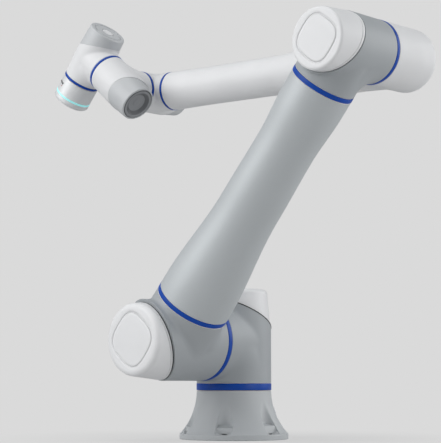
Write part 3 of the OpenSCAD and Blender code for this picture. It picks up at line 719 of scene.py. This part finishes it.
# %% [markdown]
# ## Joint housings
# A housing is a barrel about the joint, a branch along the arm and a quarter bend that fills the
# throat between them. After the blend, three planes cut it: the ring's neck at the seam, the end of
# the branch, and the slanted seam of the cap. Each rim gets a fine chamfer, and the chamfers beside
# the rings get a pale painted highlight, which is the thin bright line that runs beside every ring.

# %% Housing shape
SPARE = 6 * MM
SEAM_EDGE = 0.35 * MM
# The blend's width and the rough barrel's reach, as shares of the barrel's radius
THROAT_BLEND = 0.12
BARREL_REACH = 1.25
BEND_RODS = 10
BEND_OVERLAP = 0.3


def housing_field(points, s):
    """Distance from a housing's outside, and the way out of it, in its joint's frame."""
    down = np.clip(points[:, 2] / s.ring_start, 0, 1)
    barrel = round_z(points, s.body_r + (s.seam_r - s.body_r) * down)
    along = np.clip(points[:, 0] / s.branch_end, 0, 1)
    branch = round_x(points, s.root_r + (s.branch_r - s.root_r) * along)
    from_centre = points * (1, 0, 1) - (s.bend, 0, s.bend)
    inside = np.minimum(from_centre, 0)
    spoke = np.linalg.norm(inside, axis=1) - s.bend
    throat_way = unit(inside) * spoke[:, None] + points * (0, 1, 0)
    # Past its quarter the bend counts as a metre away
    past = (from_centre[:, 0] > 0) & (from_centre[:, 2] > 0)
    throat = np.linalg.norm(throat_way, axis=1) - s.bend_r + past, unit(throat_way)
    soft = THROAT_BLEND * s.body_r
    return blended(blended(barrel, branch, soft), throat, soft)


def rough_housing(s):
    """Overlapping rods along the barrel, the branch and the bend."""
    bm = bmesh.new()
    rod(bm, (0, 0, -BARREL_REACH * s.body_r), (0, 0, s.ring_start + SPARE), s.seam_r)
    rod(bm, (0, 0, 0), (s.branch_end + SPARE, 0, 0), s.root_r, s.branch_r)
    turns = [math.pi / 2 * i / BEND_RODS for i in range(BEND_RODS + 1)]
    corners = [s.bend * Vector((1 - math.cos(a), 0, 1 - math.sin(a))) for a in turns]
    for start, end in zip(corners, corners[1:]):
        rod(bm, start, end + BEND_OVERLAP * (end - start), s.bend_r)
    return bm


def housing(s, voxel):
    bm = remeshed(rough_housing(s), voxel)
    settled(bm, lambda points: housing_field(points, s))
    neck = (0, RING_DEEP - CHAMFER)
    steps = ((CHAMFER, CHAMFER), neck, (s.seam - s.ring_start, 0))
    cut_end(bm, (0, 0, s.ring_start - CHAMFER), (0, 0, 1), steps)
    branch_steps, edges = ((CHAMFER, CHAMFER),), [(2, s.ring_start)]
    if s.neck_end > s.branch_end:
        branch_steps += (neck, (s.neck_end - s.branch_end, 0))
        edges += [(0, s.branch_end)]
    cut_end(bm, (s.branch_end - CHAMFER, 0, 0), (1, 0, 0), branch_steps)
    seam_cut(bm, s.seam_level + SEAM_EDGE, -1, ((SEAM_EDGE, SEAM_EDGE),))
    # The chamfers beside the rings get the painted edge highlight.
    highlight_edges(bm, *edges)
    return bm

# %% Housings
for name, s, voxel, finish, slot, node in (
        ("Shoulder_casting", base, 1.9, casting_coat, "grey_casting", "shoulder_housing"),
        ("Lower_arm_casting", shoulder, 1.9, casting_coat, "grey_casting", "lower_joint_housing"),
        ("Upper_arm_casting", elbow, 1.6, casting_coat, "grey_casting", "upper_joint_housing"),
        ("First_wrist_shell", wrist_1, 1.2, white_shell, "white_shell", "wrist_1_housing"),
        ("Second_wrist_shell", wrist_2, 1.2, white_shell, "white_shell", "wrist_2_housing"),
        ("Third_wrist_shell", wrist_3, 1.2, white_shell, "white_shell", "wrist_3_housing")):
    piece(name, housing(s, voxel * MM), s.at, finish, slot, node)

# %% [markdown]
# ## Caps and their panels
# A cap closes the barrel's open end behind a slanted seam. It is moulded with a straight skirt, a
# slight draft and a generous round at its face. The big caps carry a flush panel in the shape of a
# square with bulging sides, with a groove round it, and the wrist caps a dished cover or a disc. All
# of it is one loft through loops, because a loop can be a circle at the rim and a soft square inside.

# %% Caps
EDGE_ROUND = {"base": 9 * MM, "shoulder": 10 * MM, "elbow": 4.5 * MM, "wrist": 2.5 * MM}
# The side's straight part, as a share of the barrel's radius
STRAIGHT = 0.2
GROOVE_SOFT = 2.1 * MM
SMALL_SOFT = 0.6 * MM
PANEL_POWER = 3
LIP_W = 4.2 * MM
LIP_GROOVE = 1.5 * MM
SEAL_SHY = 0.5 * MM
SEAL_DEEP = 3 * MM
# The recess's soft edge, the line round a face and the lip's groove, each as shares of its size
RECESS_EDGE = ((1.6, 0), (1, 0.04), (0.3, 0.3), (0, 1))
FACE_LINE = ((1, 0), (0.6, 1), (-0.6, 1), (-1, 0))
GROOVE_STEPS = ((0.3, 1), (0.4, 0), (0.3, -1))


def skirt(s, edge):
    """A cap's outside, from its straight skirt over the draft to the round at its face."""
    return ([(s.body_r, 0, 2), (s.body_r, -STRAIGHT * s.body_r, 2)]
            + rounded_rim(s.face_flat + edge, s.face, edge))


def seal(s, edge):
    """The rubber slab in a cap's seam, which follows the cap's skirt a little below it."""
    bm = lofted([(half - SEAL_SHY, z, power) for half, z, power in skirt(s, edge)])
    seam_cut(bm, s.seam_level, 1)
    seam_cut(bm, s.cap_level - SEAL_DEEP, -1)
    return bm


def cap(s, edge, hole, power, deep, soft=GROOVE_SOFT, line=None, cover=None):
    """A cap shell whose face has a recess of the given half width, power and depth. It may have a
    line round its face, and a lip at its seam that covers part of the seal."""
    stations = skirt(s, edge)
    if line:
        stations += [(line + out * LIP_GROOVE, s.face + inward * LIP_GROOVE, 2)
                     for out, inward in FACE_LINE]
    stations += [(hole + out * soft, s.face + inward * soft, power) for out, inward in RECESS_EDGE]
    stations += [(hole, s.face + deep, power)]
    bm = lofted(stations)
    level, steps = s.cap_level - SEAM_EDGE, ((SEAM_EDGE, SEAM_EDGE),)
    if cover:
        level += cover - LIP_W - LIP_GROOVE
        groove = tuple((on * LIP_GROOVE, inset * LIP_GROOVE) for on, inset in GROOVE_STEPS)
        steps = groove + ((LIP_W, 0),) + steps
    seam_cut(bm, level, 1, steps)
    return bm

# %% Panels and big caps
def half_width(node, at):
    return float(np.abs(local_points(node, at)[:, 0]).max())


def panel(node, at, power, crown):
    """A flush panel with a soft edge, a little proud in the middle."""
    face, inner, _ = span(node, at)
    half = half_width(node, at)
    rings = [(half, inner, power)]
    rings += [(half - down * GROOVE_SOFT, face + inward * GROOVE_SOFT, power)
              for down, inward in ((0, 1), (0.3, 0.3), (1, 0))]
    rings += [(half * share, face - crown * (1 - share * share), 2 + (power - 2) * share ** 2)
              for share in (0.92, 0.8, 0.65, 0.5, 0.35, 0.2, 0.1)]
    return lofted(rings)


def recess_of(node, at, gap):
    """Half width and depth of the recess that a panel, dish or disc sits in."""
    start, end, _ = span(node, at)
    return half_width(node, at) + gap, end - start


PANEL_GAP = 1.6 * MM
PANEL_CROWN = 0.35 * MM
LIP_COVER = 0.75 * MM
for label, s, edge, cover, cap_node, panel_node in (
        ("Shoulder_top", base, "base", None, "shoulder_top_cap", "shoulder_top_panel"),
        ("Lower_arm", shoulder, "shoulder", LIP_COVER, "lower_joint_cap", "lower_joint_panel"),
        ("Upper_arm", elbow, "elbow", LIP_COVER, "upper_joint_cap", "upper_joint_panel")):
    hole, deep = recess_of(panel_node, s.at, PANEL_GAP)
    bm = cap(s, EDGE_ROUND[edge], hole, PANEL_POWER, deep, cover=cover)
    piece(label + "_cap", bm, s.at, white_cover, "white_cover", cap_node)
    piece(label + "_panel", panel(panel_node, s.at, PANEL_POWER, PANEL_CROWN), s.at,
          white_cover, "white_cover", panel_node)
    if cover:
        piece(label + "_seal", seal(s, EDGE_ROUND[edge]), s.at, black_rubber, "black_rubber",
              cap_node.replace("_cap", "_gasket"))

# %% [markdown]
# ## Dished wrist covers
# The first two wrist caps end in a dark dish: a raised rim, a steep slope and a flat floor with a low
# round step. It is turned from one outline, and its corners are softened as a mould would leave them.
# Its slope and its outer side get a darker colour, which is painted shade.

# %% Wrist caps, dishes and the disc
SEAT_GAP = 1.2 * MM
DISH_DEEP = 5.2 * MM
DISH_STEP = 0.7 * MM
DISH_SOFT = 0.4 * MM
SLOPE_START = 1.2 * MM
SLOPE_BELOW = 0.3 * MM
# Shares of the radius: where painted shade darkens the dish, and the line round the third cap's face
SHADE_FROM, SHADE_TO, SIDE_SHADE_FROM = 0.6, 0.85, 0.98
RIM_LINE = 0.8
DISC_CROWN = 0.15 * MM


def dish(node, at):
    """A dish whose slope and side carry painted shade, a darker tone than its floor and rim."""
    start, end, radius = span(node, at)
    floor = start + DISH_DEEP
    profile = [(0, floor), (0.22, floor), (0.26, floor + DISH_STEP), (0.5, floor + DISH_STEP),
               (0.56, floor), (0.62, floor), (0.76, start + SLOPE_START), (0.84, start),
               (1, start), (1, end), (0, end)]
    bm = turned([(share * radius, level) for share, level in profile])
    soften(bm, DISH_SOFT, 12)
    for face in bm.faces:
        middle = face.calc_center_median()
        share = middle.xy.length / radius
        # Painted shade: the slope and the outer side get the darker second material.
        in_painted_shade = SHADE_FROM < share < SHADE_TO and start + SLOPE_BELOW < middle.z < floor
        if in_painted_shade or share > SIDE_SHADE_FROM:
            face.material_index = 1
    return bm


for label, s, joint in (("First_wrist", wrist_1, "wrist_1"), ("Second_wrist", wrist_2, "wrist_2")):
    hole, deep = recess_of(joint + "_dish", s.at, SEAT_GAP)
    piece(label + "_cap", cap(s, EDGE_ROUND["wrist"], hole, 2, deep, SMALL_SOFT), s.at,
          grey_cover, "grey_cover", joint + "_cap")
    # The dish's second material is its painted shade.
    piece(label + "_dish", dish(joint + "_dish", s.at), s.at, dish_grey, "dish_grey",
          joint + "_dish", second=dish_painted_shade)

hole, deep = recess_of("wrist_3_disc", at_wrist_3, SEAT_GAP)
rim_line = RIM_LINE * wrist_3.face_flat
bm = cap(wrist_3, EDGE_ROUND["wrist"], hole, 2, deep, SMALL_SOFT, rim_line)
piece("Third_wrist_cap", bm, at_wrist_3, grey_cover, "grey_cover", "wrist_3_cap")
piece("Third_wrist_disc", panel("wrist_3_disc", at_wrist_3, 2, DISC_CROWN), at_wrist_3,
      white_cover, "white_cover", "wrist_3_disc")

# %% [markdown]
# ## Rings
# Nine joints and tube ends carry a ring. It is a plain band, proud of its neighbours by a third of a
# millimetre, with soft corners. A turned rectangle with a bevel on its four edges is all it takes.

# %% Rings
RING_SOFT = 0.5 * MM


def band(low, high, radius):
    seat_r = radius - RING_DEEP - RING_PROUD
    bm = turned([(seat_r, low), (radius, low), (radius, high), (seat_r, high), (seat_r, low)])
    soften(bm, RING_SOFT)
    return bm


ALONG_X = Matrix.Rotation(math.pi / 2, 4, "Y")
for node, at, axis in (
        ("base_ring", at_base, 2), ("shoulder_ring", at_shoulder, 2),
        ("elbow_ring", at_elbow, 2), ("wrist_1_ring", at_wrist_1, 2),
        ("wrist_2_ring", at_wrist_2, 2), ("wrist_3_ring", at_wrist_3, 2),
        ("lower_tube_ring", at_shoulder, 0), ("upper_tube_ring", at_elbow, 0),
        ("forearm_ring", at_wrist_1, 0)):
    low, high, radius = span(node, at, axis)
    turn = ALONG_X if axis == 0 else Matrix()
    piece(node.capitalize() + "_band", band(low, high, radius), at @ turn, blue_trim,
          "blue_trim", node)

# %% [markdown]
# ## Arm tubes
# Both tubes swell towards their ends, so that they meet the castings at the rings' diameter. Their
# outline is read off the CAD node station by station, without the spigots that hide in the necks and
# without stations that only its bore has, and spun with more sides than the node has. A chamfer at
# each end carries a pale painted highlight beside the ring.

# %% Tubes
# A level where the tube's node is this much thinner than close by is one of its bore alone
LEAST_WALL = 5 * MM
CLOSE_BY = 25 * MM
TUBE_TURNS = 192


def tube(node, at, start, end):
    """Spins a tube's outline from its node, between the places where it shows."""
    points = local_points(node, at)
    levels = np.unique(np.round(points[:, 0] / MM, 1)) * MM
    radii = np.array([radius_at(node, at, x, 0) for x in levels])
    outline = []
    for x, radius in zip(levels, radii):
        if start + 2 * CHAMFER < x < end - 2 * CHAMFER:
            if radius > radii[np.abs(levels - x) < CLOSE_BY].max() - LEAST_WALL:
                outline.append((radius, x))
    start_r, end_r = outline[0][0], outline[-1][0]
    outline = [(0, start), (start_r - CHAMFER, start), (start_r, start + CHAMFER)] + outline
    outline += [(end_r, end - CHAMFER), (end_r - CHAMFER, end), (0, end)]
    bm = turned(outline, TUBE_TURNS)
    # Both end chamfers get the painted edge highlight.
    highlight_edges(bm, (2, start), (2, end))
    return bm


upper_len = (centre("elbow_tilt") - centre("shoulder_tilt")).length
fore_len = (centre("wrist_1_tilt") - fore_centre).length
stub_end = span("forearm_elbow", at_fore, 0)[1]
bm = tube("upper_arm_tube", at_shoulder, shoulder.neck_end, upper_len - elbow.neck_end)
piece("Upper_arm_tube", bm, at_shoulder @ ALONG_X, silver_tube, "silver_tube",
      "upper_arm_tube")
bm = tube("forearm_tube", at_fore, stub_end, fore_len - wrist_1.neck_end)
piece("Forearm_tube", bm, at_fore @ ALONG_X, white_shell, "white_shell", "forearm_tube")

# %% [markdown]
# ## Forearm elbow
# The forearm starts as a white shell beside the upper arm: a short barrel with a rounded closed end
# and a stub that the tube continues. It is blended like the housings, from a rounded barrel's and a
# cone's distances.

# %% Forearm elbow
ELBOW_ROUND = 20 * MM
ELBOW_BLEND = 9 * MM
STUB_TAPER = 2 * MM
STUB_EDGE = CHAMFER / 3
ELBOW_VOXEL = 1.7 * MM


def forearm_elbow():
    back, seam, _ = span("forearm_elbow", at_fore)
    stub_r = radius_at("forearm_elbow", at_fore, stub_end, 0)
    barrel_r = elbow.seam_r
    rough = bmesh.new()
    rod(rough, (0, 0, back), (0, 0, seam + SPARE), barrel_r)
    rod(rough, (0, 0, 0), (stub_end + SPARE, 0, 0), stub_r + STUB_TAPER, stub_r)
    bm = remeshed(rough, ELBOW_VOXEL)

    def field(points):
        """The barrel's side and back with a round between them, blended with the stub."""
        side = points * (1, 1, 0)
        radius = np.linalg.norm(side, axis=1)
        over = np.stack([radius - barrel_r + ELBOW_ROUND, back + ELBOW_ROUND - points[:, 2]], 1)
        corner = np.maximum(over, 0)
        length = np.linalg.norm(corner, axis=1)
        distance = length + np.minimum(over.max(1), 0) - ELBOW_ROUND
        share = np.where(length[:, None] > 0, unit(corner), np.eye(2)[over.argmax(1)])
        way = unit(side) * share[:, :1] - (0, 0, 1) * share[:, 1:]
        along = np.clip(points[:, 0] / stub_end, 0, 1)
        stub = round_x(points, stub_r + STUB_TAPER * (1 - along))
        return blended((distance, way), stub, ELBOW_BLEND)

    settled(bm, field)
    cut_end(bm, (0, 0, seam - CHAMFER), (0, 0, 1), ((CHAMFER, CHAMFER),))
    cut_end(bm, (stub_end - STUB_EDGE, 0, 0), (1, 0, 0), ((STUB_EDGE, STUB_EDGE),))
    # The seam's chamfer gets the painted edge highlight.
    highlight_edges(bm, (2, seam))
    return bm


piece("Forearm_elbow_shell", forearm_elbow(), at_fore, white_shell, "white_shell",
      "forearm_elbow")

# %% [markdown]
# ## Foot
# The foot is one casting: a flare that grows out of a flange, six round-ended pockets that make room
# for the bolts, and a boss behind for the supply socket. A pocket's walls run out in the flare, which
# makes it look pointed at the top. The foot is blended in the same way as the housings, and the six
# holes are drilled last so that they stay true.

# %% Foot sizes
BOLTS = 6
BOLT_EDGE = 13.5 * MM
BOLT_HOLE_R = 4.5 * MM
POCKET_R = 15 * MM
POCKET_BLEND = 1.6 * MM
SPOT_FACE = 0.5 * MM
FLANGE_T = 10.5 * MM
FLANGE_LAND = 1.2 * MM
FLARE_RODS = 12
BOSS_R = 22 * MM
BOSS_OVER = 20 * MM
BOSS_BLEND = 3 * MM
ROD_OVERLAP = 0.5 * MM
FOOT_VOXEL = 1.5 * MM
DRILL_SPARE = 2 * MM
LEAST_SLOPE = 0.3
SLOPE_STEP = 0.1 * MM

_, foot_top, flange_r = span("base_foot", Matrix())
top_r = radius_at("base_foot", Matrix(), foot_top)
bolt_r = flange_r - BOLT_EDGE
flare_w = flange_r - FLANGE_LAND - top_r
flare = (flare_w ** 2 + (foot_top - FLANGE_T) ** 2) / (2 * flare_w)
boss_end = span("base_socket", Matrix(), 1)[0] + BOSS_OVER
socket_z = sum(v.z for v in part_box("base_socket")) / 2
print("flare radius", round(flare / MM, 1), "bolts on", round(2 * bolt_r / MM, 1), "mm")

# %% Foot shape
def flare_r(z):
    """The flare's radius at a height, on an arc that ends upright at the top."""
    drop = np.clip(foot_top - z, 0, flare)
    return top_r + flare - np.sqrt(flare ** 2 - drop ** 2)


def foot_distance(points):
    x, y, z = points.T
    radius = np.hypot(x, y)
    disc = np.maximum(radius - flange_r, z - FLANGE_T)
    body = np.where(z > FLANGE_T - MM, np.minimum(radius - flare_r(z), disc), disc)
    body = np.maximum(body, -z)
    boss = np.maximum(np.hypot(x, z - socket_z) - BOSS_R, y - boss_end)
    body = joined(body, np.maximum(boss, -y), BOSS_BLEND)
    turn = math.tau / BOLTS
    angle = (np.arctan2(y, x) + turn / 2) % turn - turn / 2
    out, side = radius * np.cos(angle) - bolt_r, radius * np.sin(angle)
    slot = np.hypot(np.minimum(out, 0), side) - POCKET_R
    pocket = np.maximum(slot, FLANGE_T - SPOT_FACE - z)
    return -joined(-body, pocket, POCKET_BLEND)


def foot_field(points):
    """The distance and the way out, which is read off the distance's slope."""
    slopes = [(foot_distance(points + step) - foot_distance(points - step)) / (2 * SLOPE_STEP)
              for step in np.eye(3) * SLOPE_STEP]
    way = np.stack(slopes, 1)
    steep = np.maximum(np.linalg.norm(way, axis=1), LEAST_SLOPE)
    return foot_distance(points) / steep, way / steep[:, None]

# %% Foot casting
def foot():
    rough = bmesh.new()
    rod(rough, (0, 0, 0), (0, 0, FLANGE_T), flange_r)
    rise = (foot_top - FLANGE_T) / FLARE_RODS
    for step in range(FLARE_RODS):
        low = FLANGE_T + step * rise
        rod(rough, (0, 0, low - ROD_OVERLAP), (0, 0, low + rise), flare_r(low), flare_r(low + rise))
    rod(rough, (0, 0, foot_top - MM), (0, 0, foot_top + SPARE), top_r)
    rod(rough, (0, 0, socket_z), (0, boss_end, socket_z), BOSS_R)
    bm = remeshed(rough, FOOT_VOXEL)
    settled(bm, foot_field, 3)
    cut_end(bm, (0, 0, foot_top - CHAMFER), (0, 0, 1), ((CHAMFER, CHAMFER),))
    cut_end(bm, (0, 0, 0), (0, 0, -1))
    drills = bmesh.new()
    for count in range(BOLTS):
        spot = Matrix.Rotation(math.tau * count / BOLTS, 3, "Z") @ Vector((bolt_r, 0, 0))
        top = spot + (FLANGE_T - SPOT_FACE + DRILL_SPARE) * UP
        rod(drills, spot - DRILL_SPARE * UP, top, BOLT_HOLE_R, sides=HOLE_TURNS)
    bm = drilled(bm, drills)
    # The chamfer at the foot's top gets the painted edge highlight.
    highlight_edges(bm, (2, foot_top))
    return bm


# The foot's coat is a lighter copy of the castings' coat, which is painted light.
piece("Foot_casting", foot(), Matrix(), foot_coat_painted_light, "grey_casting", "base_foot")

# %% [markdown]
# ## Tool end
# The last link is a short turned housing with a lit ring and a standard flange: four threaded holes
# and a locating hole on a 50 mm circle round a centring bore. The housing is satin metal-white, and
# its lower edge is rounded over.

# %% Tool end
LENS_EDGE = 0.3 * MM
tool_low, _, tool_r = span("tool_housing", at_wrist_3)
light_low, light_high, light_r = span("light_ring", at_wrist_3)
seat_r = light_r - RING_DEEP - RING_PROUD
bm = turned([(0, tool_low), (tool_r - CHAMFER, tool_low), (tool_r, tool_low + CHAMFER),
             (tool_r, light_low - LENS_EDGE), (tool_r - LENS_EDGE, light_low),
             (seat_r, light_low), (seat_r, light_high), (0, light_high)])
# The lower edge's chamfer gets the painted edge highlight.
highlight_edges(bm, (2, tool_low))
piece("Tool_end_housing", bm, at_wrist_3, tool_metal, "tool_metal", "tool_housing")
piece("Light_ring_lens", band(light_low, light_high, light_r), at_wrist_3, light_lens,
      "light_lens", "light_ring")

# %% Tool flange
FLANGE_FACE_R = 31.5 * MM
FLANGE_RISE = 2 * MM
FLANGE_ROUND = 3 * MM
ROUND_STEPS = 8
FACE_EDGE = 0.4 * MM
CENTRING_R = 15.75 * MM
CENTRING_DEEP = 6.2 * MM
CENTRING_EDGE = 0.5 * MM
CABLE_BORE_R = 10 * MM
HOLE_CIRCLE_R = 25 * MM
HOLE_DEEP = 8 * MM
THREAD_R = 2.5 * MM
LOCATING_R = 3 * MM

flange_face = span("tool_flange", at_wrist_3)[1]
shelf = flange_face - FLANGE_RISE
centring_floor = flange_face - CENTRING_DEEP
outline = [(0, light_high), (tool_r - LENS_EDGE, light_high), (tool_r, light_high + LENS_EDGE)]
outline += [(tool_r - FLANGE_ROUND * (1 - math.sin(a)), shelf - FLANGE_ROUND * (1 - math.cos(a)))
            for a in (math.pi / 2 * i / ROUND_STEPS for i in range(ROUND_STEPS, -1, -1))]
outline += [(FLANGE_FACE_R, shelf), (FLANGE_FACE_R, flange_face - FACE_EDGE),
            (FLANGE_FACE_R - FACE_EDGE, flange_face), (CENTRING_R + CENTRING_EDGE, flange_face),
            (CENTRING_R, flange_face - CENTRING_EDGE), (CENTRING_R, centring_floor),
            (CABLE_BORE_R, centring_floor), (CABLE_BORE_R, light_high + MM), (0, light_high + MM)]
drills = bmesh.new()
for angle, drill_r in ((45, THREAD_R), (135, THREAD_R), (225, THREAD_R), (315, THREAD_R),
                       (0, LOCATING_R)):
    turn = Matrix.Rotation(math.radians(angle), 3, "Z")
    spot = turn @ Vector((HOLE_CIRCLE_R, 0, flange_face))
    rod(drills, spot - HOLE_DEEP * UP, spot + MM * UP, drill_r, sides=HOLE_TURNS)
piece("Tool_flange_turned", drilled(turned(outline), drills), at_wrist_3, tool_metal,
      "tool_metal", "tool_flange")

# %% [markdown]
# ## Buttons and the lamp
# Three black buttons for hand guiding sit in a row on the tool end, with a small lamp beside them.
# Each is a turned plunger with a domed face. A button's joint pushes it into the housing, so its face
# points the other way, and the lamp points as the first button does.

# %% Buttons and lamp
BUTTON_TURNS = 48
BUTTON_DOME = 0.3 * MM
LAMP_DOME = 0.2 * MM


def plunger(name, node, joint, dome, material, slot):
    """A turned plunger with a domed face that points against its joint's push."""
    corner_low, corner_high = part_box(node)
    way = Vector(joints[joint]["axis"]).normalized()
    at = place((corner_low + corner_high) / 2, UP.cross(way).normalized(), -way)
    low, high, radius = span(node, at)
    bm = turned([(0, low), (radius, low), (radius, high - dome), (0.8 * radius, high - 0.3 * dome),
                 (0.4 * radius, high), (0, high)], BUTTON_TURNS)
    piece(name, bm, at, material, slot, node)


for name, node, joint in (("First_button", "button_1", "button_a_press"),
                          ("Second_button", "button_2", "button_b_press"),
                          ("Third_button", "button_3", "button_c_press")):
    plunger(name, node, joint, BUTTON_DOME, black_rubber, "black_rubber")
plunger("Status_lamp_lens", "status_lamp", "button_a_press", LAMP_DOME, red_lens, "red_lens")

# %% [markdown]
# ## What stays as the CAD made it
# The seal on top, which stands a little proud all round, the supply socket and the drives inside
# keep their nodes' shapes and only get their finishes.

# %% Finishes of the kept nodes
finish_node("shoulder_gasket", black_rubber)
for node in frame["nodes"]:
    if node.endswith(("_motor", "_reducer", "_output", "_socket")):
        finish_node(node, drive_steel)

# %% [markdown]
# ## Floor, backdrop and lamps
# The arm stands in a pale studio. The floor and the world share one grey, so no horizon shows, and
# the floor keeps a soft shadow. Big area lamps are far enough away to light the whole arm evenly.

# %% Studio
PALE = linear("#dadada")
world = bpy.data.worlds.new("Studio")
bpy.context.scene.world = world
world.use_nodes = True
tree = world.node_tree
tree.nodes.clear()
rays = add(tree, "ShaderNodeLightPath")
ambient = add(tree, "ShaderNodeBackground", {"Color": linear("#dfe3e6"), "Strength": 0.43})
seen = add(tree, "ShaderNodeBackground", {"Color": PALE, "Strength": 1.0})
either = add(tree, "ShaderNodeMath", {0: rays.outputs["Is Camera Ray"],
                                      1: rays.outputs["Is Transmission Ray"]},
             operation="MAXIMUM")
shown = add(tree, "ShaderNodeMixShader", {0: either.outputs[0], 1: ambient.outputs[0],
                                          2: seen.outputs[0]})
add(tree, "ShaderNodeOutputWorld", {"Surface": shown.outputs[0]})

SHADOW_NEAR = 0.12
SHADOW_FAR = 0.55
SHADOW_SHADE = 0.74
floor_material, tree, spot = start_material("Pale_floor")
rays = add(tree, "ShaderNodeLightPath")
lit = add(tree, "ShaderNodeBsdfDiffuse", {"Color": linear("#cacaca")})
even = add(tree, "ShaderNodeEmission", {"Color": PALE, "Strength": 1.0})
away = add(tree, "ShaderNodeVectorMath", {0: spot}, operation="LENGTH")
fade = add(tree, "ShaderNodeMapRange", {
    "Value": away.outputs["Value"], "From Min": SHADOW_NEAR, "From Max": SHADOW_FAR,
    "To Min": SHADOW_SHADE, "To Max": 1.0}, interpolation_type="SMOOTHSTEP")
share = add(tree, "ShaderNodeMath", {0: rays.outputs["Is Camera Ray"],
                                     1: fade.outputs["Result"]}, operation="MULTIPLY")
mixed = add(tree, "ShaderNodeMixShader", {0: share.outputs[0], 1: lit.outputs[0],
                                          2: even.outputs[0]})
add(tree, "ShaderNodeOutputMaterial", {"Surface": mixed.outputs[0]})
bm = bmesh.new()
bmesh.ops.create_grid(bm, x_segments=1, y_segments=1, size=FLOOR_HALF)
floor_mesh = bpy.data.meshes.new("Floor")
bm.to_mesh(floor_mesh)
bm.free()
floor_mesh.materials.append(floor_material)
floor = new_object("Floor", floor_mesh)
floor.location.z = cad_box[0][2]

LAMP_TARGET = Vector((0, -0.04, 0.4))


def lamp(name, right, up, near, size, power):
    """A round softbox, placed by its distances in metres to the arm's right, up and towards the
    view. Its size is in metres too, and its power in watts."""
    data = bpy.data.lights.new(name, "AREA")
    data.shape = "DISK"
    data.size = size
    data.energy = power
    away = right * camera_right + up * UP + near * camera_right.cross(UP)
    way = away.normalized()
    new_object(name, data).matrix_world = place(LAMP_TARGET + away, UP.cross(way).normalized(), way)
    print("lamp", name, round(away.length, 1), "m away")


lamp("Left_softbox", -2.6, 1.3, 1.2, 3.0, 64)
lamp("Top_softbox", -0.3, 3.0, 1.0, 2.4, 28)
lamp("Right_edge_light", 2.6, 0.8, -0.6, 2.0, 28)
lamp("Low_right_fill", 2.2, -0.2, 1.6, 1.2, 17)

bpy.context.scene.view_settings.view_transform = "Standard"
